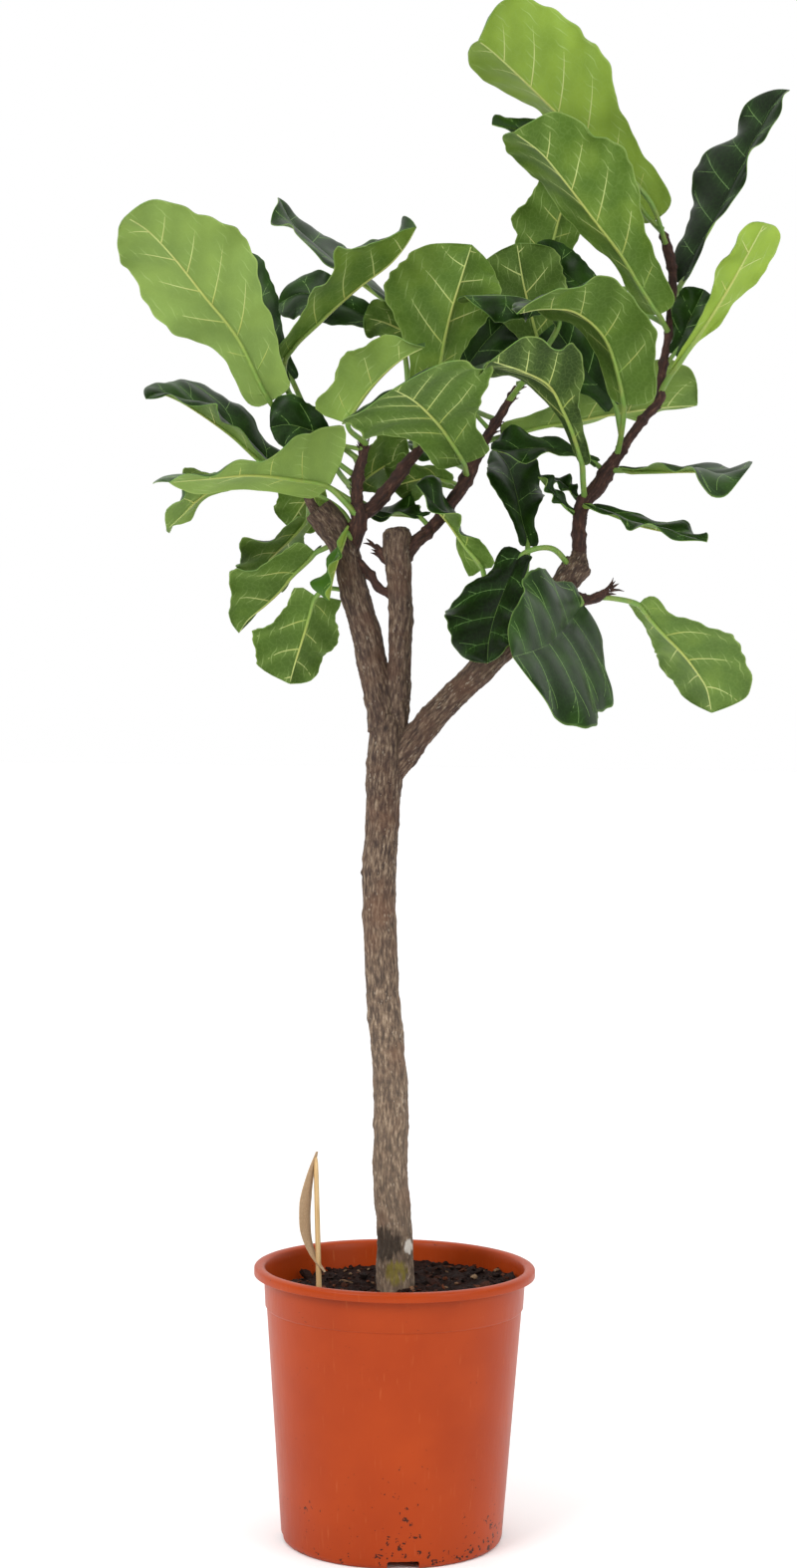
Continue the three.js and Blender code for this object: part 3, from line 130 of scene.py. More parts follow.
LEAVES = [
    # the shoots on the left limb
    ["leaf_01", ["left_twig", 1.6], [[-78, 1042, 14], [-112, 1070, 14]], [[-129, 1089, 2],
     [-161, 1150, -12], [-192, 1188, -30], [-223, 1226, -52], [-247, 1250, -72], [-268, 1263, -92]], [BACK,
     [0.2, 1, 0.3]], [[82, 80, 71, 54, 26], [60, 62, 64, 50, 34]], [8, 18]],
    ["leaf_02", ["left_twig", 0.9], [[-62, 1022, 40], [-90, 1072, 75]], [[-108, 1110, 85],
     [-128, 1150, 100], [-150, 1195, 120], [-166, 1230, 140]], [FRONT], [45, 26], [15, 15]],
    ["leaf_03", ["centre_twig", 6], [[20, 1100, 60], [10, 1150, 75]], [[-6, 1176, 80], [-35, 1198, 95],
     [-65, 1218, 115], [-94, 1240, 140], [-112, 1262, 160], [-122, 1282, 175]], [[0.5, 0, 0.8]],
     [[50, 52, 50, 36, 16], [60, 64, 64, 46, 20]], [-6, 18]],
    ["leaf_04", ["left_twig", 2.5], [[-80, 1064, 22], [-112, 1100, 30]], [[-114, 1131, 30], [-80, 1168, 10],
     [-45, 1199, -12], [-16, 1221, -30], [0, 1240, -45], [9, 1256, -60]], [[-0.7, 0, 0.7]],
     [[60, 60, 52, 44, 30], [60, 60, 60, 64, 40]], [36, 30]],
    ["leaf_05", ["centre_twig", 5], [[4, 1095, 45]], [[-5, 1146, 56], [-38, 1171, 54], [-75, 1187, 56],
     [-100, 1192, 64], [-121, 1182, 76]], [[0, -0.85, 0.5]], [36, [34, 22, 20, 24, 20]], [10, 10]],
    ["leaf_06", ["hub", 3], [[-80, 1012, 22]], [[-125, 1025, 32], [-165, 1057, 30], [-198, 1079, 20],
     [-218, 1090, 5], [-235, 1095, -10], [-247, 1090, -25]], [[0.5, 0, 0.85]], [[62, 60, 52, 26, 10],
     [80, 82, 70, 28, 10]], [10, [48, 40, 22, 12]]],
    ["leaf_07", ["left_twig", 3.4], [], [[-62, 1049, -3], [-90, 1062, -9], [-112, 1067, -12],
     [-128, 1064, -12]], [FRONT], [27, 28], [8, 8]],
    ["leaf_08", ["hub", 2], [[-58, 996, -8]], [[-72, 1008, -16], [-105, 1015, -40], [-145, 1019, -75],
     [-185, 1015, -115], [-223, 1011, -150]], [[0, 1, 0.1], [0, 0.7, 0.6], [0, 0.15, 1]],
     [[200, 105, 20, 16, 16], [72, 72, 72, 66, 50]], [[0, 10], [46, 12]]],
    ["leaf_09", ["hub", 1.2], [[-62, 988, 14], [-105, 1008, 6]], [[-150, 1013, 6], [-182, 1005, -2],
     [-200, 992, -14], [-213, 978, -26], [-226, 966, -36]], [[-0.3, 0.5, 0.8]], [[40, 40, 40, 32, 16],
     [42, 42, 42, 34, 16]], [15, 15]],
    ["leaf_10", ["left_twig", 4], [], [[-54, 1069, -48], [-40, 1094, -62], [-22, 1115, -76],
     [-3, 1131, -90], [18, 1142, -106]], [[-0.1, 0.85, 0.5]], [[70, 68, 62, 38, 12], [112, 78, 44, 24, 8]],
     [75, 22]],
    ["leaf_36", ["left_limb", 6], [[-74, 950, 16]], [[-84, 945, 22], [-95, 934, 32], [-106, 923, 40],
     [-118, 908, 52], [-131, 895, 62], [-148, 880, 76], [-156, 868, 84]], [[-0.2, 0.8, 0.6]],
     [[70, 64, 56, 36, 12], 50], [5, 60]],
    ["leaf_37", ["left_limb", 4], [[-72, 911, 14]], [[-83, 903, 18], [-89, 885, 28], [-93, 870, 36],
     [-98, 853, 46], [-103, 836, 58], [-107, 820, 66]], [[0, 0.9, 0.4]], [[70, 60, 52, 44, 40],
     [85, 72, 42, 28, 26]], [5, 20]],
    ["leaf_38", ["left_limb", 8], [[-90, 990, 40]], [[-92, 978, 62], [-106, 960, 78], [-126, 940, 98],
     [-141, 922, 114]], [[-0.4, 0.4, 0.8]], [38, 40], [10, 10]],
    ["leaf_39", ["hub", 0.6], [], [[-54, 965, -10], [-60, 948, -18], [-66, 925, -24], [-70, 900, -28]],
     [[-0.9, -0.2, 0.2]], [[22, 26, 26, 16, 12], [22, 26, 26, 24, 18]], [20, 20]],
    ["leaf_40", ["centre_twig", 0.8], [[-44, 997, 32]], [[-50, 1004, 44], [-40, 1014, 56], [-20, 1028, 72],
     [5, 1040, 88]], [[0, 0.8, 0.6]], [34, 34], [10, 10]],
    ["leaf_41", ["left_twig", 2.1], [[-52, 1042, 36], [-66, 1044, 66]], [[-76, 1028, 80], [-88, 1005, 90],
     [-100, 985, 100], [-110, 970, 108]], [[-0.2, 0.9, 0.3]], [26, 28], [10, 10]],
    # the shoot on the middle limb
    ["leaf_11", ["side_shoot", 5], [], [[57, 1032, 0], [38, 1062, -45], [24, 1078, -90], [8, 1092, -140],
     [-11, 1102, -190]], [[-0.24, 0.41, 0.88]], [[90, 75, 72, 76, 60], [80, 72, 70, 70, 50]], [5, 2]],
    ["leaf_12", ["side_shoot", 6], [[56, 1066, 12]], [[33, 1098, 0], [35, 1135, -10], [43, 1175, -20],
     [53, 1210, -18], [62, 1240, 5]], [BACK], [[50, 46, 44, 44, 42], [76, 86, 78, 62, 40]], [18, 12]],
    ["leaf_13", ["side_shoot", 10], [[126, 1116, 66]], [[131, 1130, 76], [122, 1165, 84], [112, 1203, 88],
     [105, 1242, 88]], [BACK], [44, 42], [10, 10]],
    ["leaf_14", ["side_shoot", 9.2], [[126, 1130, 14]], [[146, 1170, 14], [115, 1189, -14], [86, 1192, -44],
     [56, 1191, -72]], [[0.2, -0.9, 0.4]], [[36, 36, 34, 32, 28], 30], [5, -65]],
    ["leaf_24", ["side_shoot", 7], [], [[93, 1058, 48], [130, 1068, 63], [165, 1074, 72], [200, 1081, 80],
     [240, 1087, 91], [279, 1090, 104]], [[0, 0.75, 0.65]], [44, [42, 44, 46, 50, 60]], [[48, 44],
     [16, 10]]],
    ["leaf_34", ["right_limb", 4.4], [[78, 900, -8]], [[76, 932, -12], [60, 953, -16], [45, 973, -22],
     [30, 990, -32], [12, 1011, -46]], [[0.2, 0.8, 0.3], [0, -0.3, 1], [0.3, -0.7, 0.7]],
     [[40, 40, 28, 22, 20], [60, 60, 58, 42, 24]], [15, 15]],
    ["leaf_35", ["side_shoot", 2.2], [], [[16, 980, 18], [4, 982, 38], [-12, 982, 62], [-28, 985, 88]],
     [[0, -0.4, 0.9]], [34, 34], [12, 12]],
    ["leaf_43", ["side_shoot", 8.2], [[62, 1086, 78]], [[50, 1102, 94], [70, 1140, 106], [95, 1168, 112],
     [110, 1186, 118]], [FRONT], [38, 38], [12, 12]],
    ["leaf_45", ["side_shoot", 4.4], [], [[46, 1014, 36], [25, 1018, 52], [2, 1013, 70], [-12, 1008, 82]],
     [[0, 0.8, 0.6]], [28, 28], [12, 12]],
    ["leaf_46", ["side_shoot", 7.6], [[58, 1092, 34], [42, 1132, 26]], [[22, 1150, 24], [-4, 1159, 22],
     [-22, 1166, 20], [-40, 1170, 18]], [[0, 0.8, 0.6]], [22, 22], [12, 12]],
    ["leaf_48", ["side_shoot", 5.4], [[62, 1024, 78]], [[52, 1030, 100], [38, 1036, 112], [20, 1045, 122],
     [0, 1050, 134]], [[0, -0.3, 1]], [40, 40], [10, 10]],
    # the long shoot on the right limb
    ["leaf_15", ["right_shoot", 6], [[207, 1062, 18]], [[209, 1090, 2], [203, 1120, -14], [193, 1148, -32],
     [181, 1164, -52], [160, 1178, -76], [131, 1180, -108], [106, 1175, -140]], [[0.4, 0.9, 0.2],
     [0.1, 0.5, 0.85]], [[98, 100, 54, 36, 22], [60, 72, 70, 44, 14]], [12, 34]],
    ["leaf_16", ["right_shoot", 3.2], [[171, 1018, 8]], [[170, 1032, 0], [162, 1060, -18], [151, 1085, -45],
     [138, 1107, -76], [114, 1120, -112], [82, 1130, -148]], [[0.3, 0.9, 0.2], [0.2, 0.6, 0.8]],
     [[30, 26, 38, 46, 34], [16, 44, 76, 72, 18]], [18, [46, 30, 8]]],
    ["leaf_17", ["right_shoot", 12], [], [[241, 1176, 42], [222, 1205, 26], [205, 1232, 12],
     [178, 1266, -4], [147, 1305, -26], [128, 1327, -42], [101, 1347, -72]], [[0.3, 0.9, 0.2]],
     [[70, 66, 64, 56, 24], [66, 66, 62, 50, 34]], [8, [40, 54, 44]]],
    ["leaf_18", ["right_shoot", 16], [], [[234, 1264, 68], [215, 1290, 60], [185, 1325, 46],
     [150, 1358, 28], [100, 1405, 0], [77, 1425, -22], [66, 1433, -44]], [[0.4, 0.8, 0.4], [0.3, 0.8, 0.45],
     [-0.6, 0.6, 0.5]], [[90, 80, 72, 74, 56], [76, 76, 64, 48, 20]], [12, [40, 54, 40]]],
    ["leaf_19", ["right_shoot", 13.5], [[200, 1200, 114], [150, 1206, 126]], [[137, 1222, 126],
     [141, 1250, 123], [151, 1285, 113], [165, 1320, 102]], [BACK], [[70, 55, 30, 22, 22],
     [110, 100, 44, 30, 28]], [10, 10]],
    ["leaf_20", ["right_shoot", 15], [[232, 1282, 44], [204, 1312, 26]], [[182, 1328, 18], [140, 1336, 2],
     [105, 1350, -14], [80, 1354, -28]], [[0, -0.7, 0.7]], [16, 20], [10, 10]],
    ["leaf_21", ["right_shoot", 13], [], [[263, 1207, 76], [276, 1236, 86], [292, 1265, 98],
     [306, 1292, 110], [321, 1325, 124], [338, 1358, 138], [349, 1378, 147], [362, 1390, 153]],
     [[-0.6, -0.7, 0.4]], [[60, 62, 56, 36, 24], [30, 28, 24, 22, 24]], [5, 25]],
    ["leaf_22", ["right_shoot", 9.4], [], [[254, 1120, 44], [270, 1144, 38], [288, 1170, 30],
     [308, 1203, 20], [326, 1236, 4], [341, 1264, -14]], [[-0.2, 0.8, 0.6]], [[14, 40], [12, 20]],
     [20, 20]],
    ["leaf_23", ["right_shoot", 10.6], [], [[257, 1140, 60], [270, 1170, 56], [284, 1200, 50]], [FRONT],
     [22, 24], [10, 10]],
    ["leaf_25", ["right_shoot", 5], [], [[182, 1034, 38], [165, 1042, 36], [130, 1048, 28], [98, 1045, 20],
     [83, 1046, 16]], [[0, -0.55, 0.83]], [28, 28], [10, 10]],
    ["leaf_26", ["right_shoot", 5.2], [], [[210, 1027, 24], [240, 1027, 14], [280, 1027, 0],
     [305, 1025, -10], [330, 1032, -22]], [UP], [46, 54], [12, [10, 0, -35]]],
    ["leaf_27", ["right_shoot", 3], [], [[178, 993, 12], [195, 988, 0], [225, 976, -22], [258, 968, -50],
     [290, 960, -82]], [[0, -0.2, 1]], [[38, 38, 34, 22, 10], [38, 38, 34, 22, 10]], [6, 8]],
    ["leaf_28", ["right_shoot", 2.6], [], [[160, 988, 20], [150, 997, 16], [139, 1008, 10], [128, 1020, 2]],
     [[-0.4, -0.5, 0.7]], [12, 12], [20, 20]],
    ["leaf_32", ["right_shoot", 12.2], [], [[225, 1178, 84], [190, 1190, 98], [150, 1215, 106],
     [125, 1243, 108]], [FRONT], [25, 22], [8, 4]],
    ["leaf_44", ["right_shoot", 6.5], [[205, 1070, 38]], [[200, 1090, 36], [178, 1115, 36], [155, 1145, 38],
     [140, 1165, 40]], [FRONT], [40, 40], [10, 10]],
    ["leaf_47", ["right_shoot", 3.5], [], [[166, 1000, 35], [158, 1009, 41], [150, 1015, 47],
     [141, 1018, 53]], [[0, -0.3, 1]], [14, 14], [15, 15]],
    # low on the right limb
    ["leaf_29", ["right_limb", 6], [[116, 915, 24]], [[119, 955, 34], [113, 980, 50], [106, 1010, 76],
     [99, 1030, 96], [88, 1044, 116]], [[0.3, -0.8, 0.6]], [[30, 34, 34, 26, 14], [30, 34, 34, 26, 14]],
     [12, 12]],
    ["leaf_30", ["right_limb", 8.5], [[142, 952, -2]], [[114, 946, -22], [103, 925, -40], [96, 908, -56],
     [88, 885, -80], [83, 862, -108], [82, 842, -136]], [[-0.1, -0.8, 0.6]], [[38, 38, 34, 28, 20],
     [54, 56, 52, 40, 24]], [8, 8]],
    ["leaf_31", ["low_shoot", 1.2], [], [[171, 900, -22], [162, 885, -50], [154, 874, -80],
     [139, 860, -125], [123, 853, -162], [106, 848, -204]], [[0.84, -0.39, 0.34]], [[95, 172, 98, 78, 54],
     [60, 125, 78, 50, 26]], [8, 5]],
    ["leaf_33", ["right_limb", 7.4], [[176, 906, 30], [202, 905, 44]], [[226, 899, 60], [238, 885, 74],
     [251, 871, 88], [268, 854, 105], [283, 835, 122], [292, 820, 136], [297, 797, 152]], [[0, 0.75, 0.65]],
     [50, [50, 56, 56, 50, 44]], [40, 5]],
]

# How a leaf's colour stands to the rest: above zero is young and bright, below zero old and dark.
TONE = {
    "leaf_01": 0.65, "leaf_04": 0.1, "leaf_08": 0.55, "leaf_09": 0.45, "leaf_10": 0.35, "leaf_11": -0.3,
    "leaf_12": 0.05, "leaf_13": -0.4, "leaf_15": -0.1, "leaf_16": -0.95, "leaf_17": 0.05, "leaf_18": 0.55,
    "leaf_19": -0.1, "leaf_21": -0.5, "leaf_22": 0.8, "leaf_24": 0.3, "leaf_30": -0.8, "leaf_36": -0.15,
    "leaf_37": -0.25, "leaf_39": 0.7, "leaf_45": -0.2,
}
# blades that are greyer, 0 to 1
DULL = {"leaf_01": 0.4, "leaf_08": 0.35, "leaf_09": 0.35, "leaf_10": 0.2, "leaf_24": 0.2, "leaf_33": 0.15}

# ---- points and lines -----------------------------------------------------------------------------------
# where the photo was taken from
FRONT_EYE = np.array([-2.5, -2650.0, 790.0])


def seen(points):
    """Places given as seen against the trunk's plane, with a depth, turned to real places."""
    p = np.array([point[:3] for point in points], float)
    flat = np.column_stack([p[:, 0], np.zeros(len(p)), p[:, 1]])
    return FRONT_EYE + (flat - FRONT_EYE) * (1 - p[:, 2:3] / FRONT_EYE[1])


def drawn(seed):
    """A repeatable number from 0 to 1."""
    return (seed * 1664525 + 1013904223) % 4294967296 / 4294967296


def lerp(a, b, t):
    return a + (b - a) * t


def unit(rows):
    """Each row brought to a length of one."""
    return rows / np.maximum(np.linalg.norm(rows, axis=1), 1e-9)[:, None]


def lumps(*place):
    """Smooth noise from -1 to 1, its lumps about one apart."""
    return noise.noise(Vector(place))


def eased(x, xs, ys):
    """A smooth run through given values that never swings past them."""
    xs, ys = np.asarray(xs, float), np.asarray(ys, float)
    step = np.diff(xs)
    slope = np.diff(ys) / step
    lean = np.zeros(len(xs))
    both = slope[:-1] * slope[1:]
    lean[1:-1] = np.where(both > 0, 2 * both / np.where(both > 0, slope[:-1] + slope[1:], 1), 0)
    lean[0], lean[-1] = slope[0], slope[-1]
    k = np.clip(np.searchsorted(xs, x, side="right") - 1, 0, len(xs) - 2)
    t = (x - xs[k]) / step[k]
    a, b = ys[k], ys[k + 1]
    bend = (1 - t) ** 2 * t * lean[k] * step[k] - t * t * (1 - t) * lean[k + 1] * step[k]
    return a + (b - a) * t * t * (3 - 2 * t) + bend


def along(value, u):
    """A value, or a list of them that runs evenly from stalk to tip."""
    if np.ndim(value) == 0:
        return np.full_like(u, value)
    if len(value) == 1:
        return np.full_like(u, value[0])
    return eased(u, np.linspace(0, 1, len(value)), value)


class Route:
    """A smooth line through points, read by the distance run along it."""

    def __init__(self, points, per=24):
        p = np.asarray(points, float)
        p = np.vstack([2 * p[0] - p[1], p, 2 * p[-1] - p[-2]])
        t = np.linspace(0, 1, per, endpoint=False)[:, None]
        runs = []
        for i in range(1, len(p) - 2):
            p0, p1, p2, p3 = p[i - 1 : i + 3]
            d0, d1, d2 = (max(np.linalg.norm(b - a), 1e-6) ** 0.5 for a, b in ((p0, p1), (p1, p2), (p2, p3)))
            m1 = ((p1 - p0) / d0 - (p2 - p0) / (d0 + d1) + (p2 - p1) / d1) * d1
            m2 = ((p2 - p1) / d1 - (p3 - p1) / (d1 + d2) + (p3 - p2) / d2) * d1
            hermite = p1 * (1 - 3 * t**2 + 2 * t**3) + p2 * (3 * t**2 - 2 * t**3)
            runs.append(hermite + m1 * (t - 2 * t**2 + t**3) + m2 * (t**3 - t**2))
        self.at = np.vstack([*runs, p[-2][None]])
        self.per = per
        self.run = np.concatenate([[0], np.cumsum(np.linalg.norm(np.diff(self.at, axis=0), axis=1))])
        self.length = self.run[-1]
        self.way = unit(np.gradient(self.at, self.run, axis=0))

    def point(self, s):
        return np.column_stack([np.interp(s, self.run, self.at[:, i]) for i in range(3)])

    def tangent(self, s):
        return unit(np.column_stack([np.interp(s, self.run, self.way[:, i]) for i in range(3)]))

    def at_one(self, s):
        """The point and the way at a single distance."""
        return self.point(np.array([s]))[0], self.tangent(np.array([s]))[0]


# ---- workshop -------------------------------------------------------------------------------------------
def deselect():
    for thing in list(bpy.context.selected_objects):
        thing.select_set(False)


def take(*things):
    """Selects these things alone, the first of them active."""
    deselect()
    for thing in things:
        thing.select_set(True)
    bpy.context.view_layer.objects.active = things[0]


def placed(name, data):
    """An object for this data, put in the scene."""
    thing = bpy.data.objects.new(name, data)
    bpy.context.collection.objects.link(thing)
    return thing


def primitive(make, **settings):
    """One of Blender's own shapes, to be worked on."""
    deselect()
    make(**settings)
    return bpy.context.object


def modify(thing, kind, **settings):
    """Adds a modifier with its settings and applies it."""
    take(thing)
    modifier = thing.modifiers.new(kind.lower(), kind)
    for key, value in settings.items():
        setattr(modifier, key, value)
    bpy.ops.object.modifier_apply(modifier=modifier.name)


def places(thing):
    co = np.empty(len(thing.data.vertices) * 3)
    thing.data.vertices.foreach_get("co", co)
    return co.reshape(-1, 3) / MM


def move_to(thing, points):
    thing.data.vertices.foreach_set("co", (np.asarray(points) * MM).ravel())
    thing.data.update()


def note(thing, name, values):
    """Keeps a number, or a vector, for every vertex."""
    values = np.asarray(values, float)
    kind, field = ("FLOAT", "value") if values.ndim == 1 else ("FLOAT_VECTOR", "vector")
    thing.data.attributes.new(name, kind, "POINT").data.foreach_set(field, values.ravel())


def smooth(thing, angle=180):
    take(thing)
    if angle >= 180:
        bpy.ops.object.shade_smooth()
    else:
        bpy.ops.object.shade_smooth_by_angle(angle=math.radians(angle))


def rods(name, lines, bevel=1, material=None):
    """Round rods along lines of points, with a radius at each point, as one mesh with capped ends."""
    data = bpy.data.curves.new(name, "CURVE")
    if material:
        data.materials.append(material)
    data.dimensions = "3D"
    data.bevel_depth = 1
    data.bevel_resolution = bevel
    data.use_fill_caps = True
    for points, radii in lines:
        spline = data.splines.new("POLY")
        spline.points.add(len(points) - 1)
        co = np.column_stack([np.asarray(points) * MM, np.ones(len(points))])
        spline.points.foreach_set("co", co.ravel())
        spline.points.foreach_set("radius", np.asarray(radii, float) * MM)
    take(placed(name, data))
    bpy.ops.object.convert(target="MESH")
    return bpy.context.object


def joined(first, *others):
    """Makes the others part of the first."""
    take(first, *others)
    bpy.ops.object.join()
    return first


def finished(thing, name, node, slot, *materials):
    """Names a piece, gives it its materials, and lets it stand for its solid."""
    thing.name = thing.data.name = name
    for material in materials:
        thing.data.materials.append(material)
    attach(thing, "root")
    if node:
        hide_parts(node)


# ---- materials ------------------------------------------------------------------------------------------
def colour(code):
    """An sRGB hex colour as linear light."""
    parts = [int(code[i : i + 2], 16) / 255 for i in (1, 3, 5)]
    return tuple(c / 12.92 if c <= 0.04045 else ((c + 0.055) / 1.055) ** 2.4 for c in parts) + (1.0,)


def add(tree, kind, links=(), **settings):
    """Adds a node with its links. Settings named in_X go to the input X, the rest to the node itself."""
    made = tree.nodes.new("ShaderNode" + kind)
    for key, value in settings.items():
        if key.startswith("in_"):
            slot = key[3:]
            made.inputs[int(slot) if slot.isdigit() else slot.replace("_", " ")].default_value = value
        else:
            setattr(made, key, value)
    for socket, source in dict(links).items():
        tree.links.new(source, made.inputs[socket])
    return made


def feed(tree, socket, value):
    """Links a socket to another, or sets it to a number or to a colour given by its code."""
    if isinstance(value, bpy.types.NodeSocket):
        tree.links.new(value, socket)
    else:
        socket.default_value = colour(value) if isinstance(value, str) else value


def here(tree):
    return add(tree, "TexCoord").outputs["Object"]


def noted(tree, name, output="Fac"):
    """What note() kept under this name."""
    return add(tree, "Attribute", attribute_name=name).outputs[output]


def height_of(tree, place):
    return add(tree, "SeparateXYZ", {0: place}).outputs[2]


def stretched(tree, place, *scale):
    return add(tree, "Mapping", {0: place}, in_Scale=scale).outputs[0]


def clouds(tree, place, scale, detail=2, **more):
    """Soft noise, its lumps one over the scale apart."""
    return add(tree, "TexNoise", {"Vector": place}, in_Scale=scale, in_Detail=detail, **more).outputs[0]


def cells(tree, place, scale, **more):
    return add(tree, "TexVoronoi", {"Vector": place}, in_Scale=scale, **more).outputs[0]


def ranged(tree, level, low, high, start, stop):
    """Start where the level is low, stop where it is high, and between the two in between."""
    return add(tree, "MapRange", {0: level}, in_1=low, in_2=high, in_3=start, in_4=stop).outputs[0]


def maths(tree, operation, *values):
    """One step of arithmetic on sockets and numbers."""
    made = add(tree, "Math", operation=operation)
    for socket, value in zip(made.inputs, values):
        feed(tree, socket, value)
    return made.outputs[0]


def ramp(tree, level, *stops):
    """Colours along a level, each with its place."""
    made = add(tree, "ValToRGB", {0: level})
    elements = made.color_ramp.elements
    while len(elements) < len(stops):
        elements.new(0.5)
    for element, (place, code) in zip(elements, stops):
        element.position = place
        element.color = colour(code)
    return made.outputs[0]


def mixed(tree, share, a, b):
    """Two colours mixed by a share."""
    made = add(tree, "Mix", data_type="RGBA")
    for socket, value in ((0, share), (6, a), (7, b)):
        feed(tree, made.inputs[socket], value)
    return made.outputs[2]


def bumped(tree, level, strength, depth, **more):
    """A surface normal that rises with the level, by the depth at most."""
    return add(tree, "Bump", {"Height": level}, in_Strength=strength, in_Distance=depth, **more).outputs[0]


def shader(tree, links, **settings):
    surface = add(tree, "BsdfPrincipled", links, **settings)
    add(tree, "OutputMaterial", {"Surface": surface.outputs[0]})


def new_material(name, paint, *choice):
    """A material whose nodes are laid by one of the functions below."""
    material = bpy.data.materials.new(name)
    material.use_nodes = True
    material.node_tree.nodes.clear()
    paint(material.node_tree, *choice)
    return material


def polypropylene(tree):
    """Injection-moulded polypropylene: an even orange-brown with a satin skin, faint clouding where the melt
    flowed, hair-fine rubs down the wall and crumbs of potting soil that cling to the foot."""
    place = here(tree)
    shade = ramp(tree, clouds(tree, place, 14, 3), (0.3, "#9C3608"), (0.7, "#A83E0C"))
    # rubs: 2 mm apart across and 40 mm long, drawn wider than real so that they show
    rub = clouds(tree, stretched(tree, place, 480, 480, 25), 1)
    shade = mixed(tree, ranged(tree, rub, 0.66, 0.8, 0, 0.35), shade, "#C26A3E")
    # soil specks: about 7 mm apart, pushed out of line by a few millimetres, in patches, thickest at the foot
    low = ranged(tree, height_of(tree, place), 0, 0.1, 0.44, 0.1)
    stray = add(tree, "TexNoise", {"Vector": place}, in_Scale=260, in_Detail=3).outputs[1]
    push = stretched(tree, stray, 0.012, 0.012, 0.012)
    spot = add(tree, "VectorMath", {0: place, 1: push}, operation="ADD").outputs[0]
    patch = ranged(tree, clouds(tree, place, 30), 0.42, 0.66, 0.15, 0.95)
    dirt = maths(tree, "LESS_THAN", cells(tree, spot, 150), maths(tree, "MULTIPLY", low, patch))
    shade = mixed(tree, dirt, shade, "#3E1C10")
    rough = ranged(tree, rub, 0.3, 0.8, 0.33, 0.45)
    bump = bumped(tree, clouds(tree, place, 700), 0.12, 0.0004)
    shader(tree, {"Base Color": shade, "Roughness": rough, "Normal": bump}, in_Specular_IOR_Level=0.18)


def ficus_bark(tree):
    """Fig bark: grey-brown cork in fine upright plates with pale flaked edges, rust where it is younger, and
    at the very foot a damp dark patch, yellow lichen and a dab of lime. The shoots are dark red-brown."""
    place = here(tree)
    # plates about 2.4 mm wide and 10 mm tall
    fine = stretched(tree, noted(tree, "grain", "Vector"), 420, 420, 100)
    plate = clouds(tree, fine, 1, 5, in_Roughness=0.65)
    shade = ramp(tree, plate, (0.34, "#150D09"), (0.44, "#43322A"), (0.54, "#725D4A"), (0.68, "#B09B83"))
    rust = clouds(tree, place, 26, 4, in_Roughness=0.6)
    shade = mixed(tree, ranged(tree, rust, 0.48, 0.68, 0, 0.6), shade, "#6B4630")
    # flakes: pale chips up to 2 mm wide and 8 mm tall
    limit = ranged(tree, clouds(tree, place, 60), 0.42, 0.7, 0, 0.3)
    pale = maths(tree, "LESS_THAN", cells(tree, fine, 1.3), limit)
    shade = mixed(tree, maths(tree, "MULTIPLY", pale, 0.75), shade, "#C3B5A0")
    # the oldest bark, at the foot, is the palest, and the limbs are darker
    height = height_of(tree, place)
    shade = mixed(tree, ranged(tree, height, 0.25, 0.7, 0.28, 0), shade, "#AE9A82")
    shade = mixed(tree, ranged(tree, height, 0.5, 0.85, 0.15, 0.55), shade, "#3B2A20")
    skin = ramp(tree, plate, (0.3, "#1A0E0A"), (0.55, "#3E2319"), (0.8, "#70503F"))
    shade = mixed(tree, noted(tree, "youth"), shade, skin)
    # the damp patch, the lichen and the lime, each with a ragged edge between two levels
    for centre, size, code, low, high in (
        ((-0.012, -0.016, 0.286), 0.02, "#2A2016", 0.252, 0.4),
        ((0.002, -0.018, 0.258), 0.015, "#7E7226", 0.3, 0.496),
        ((0.014, -0.011, 0.283), 0.0075, "#E3DED4", 0.24, 0.368),
    ):
        away = add(tree, "VectorMath", {0: place}, operation="DISTANCE", in_1=centre).outputs["Value"]
        inside = ranged(tree, away, size * 1.5, size * 0.5, 0, 1)
        level = maths(tree, "MULTIPLY", inside, clouds(tree, fine, 0.8, 3))
        shade = mixed(tree, ranged(tree, level, low, high, 0, 0.85), shade, code)
    shader(tree, {"Base Color": shade, "Normal": bumped(tree, plate, 0.8, 0.0015)}, in_Roughness=0.86)


UPPER_GREENS = ("#0A1504", "#152A07", "#46701A"), ("#1C2A18", "#3D6424", "#3A632A", "#4E7639", "#6E8E46")
UNDER_GREENS = ("#2E4117", "#506C24", "#93AE42"), ("#6E8458", "#84A04E", "#8BA65A", "#A0B56E", "#A0B866")


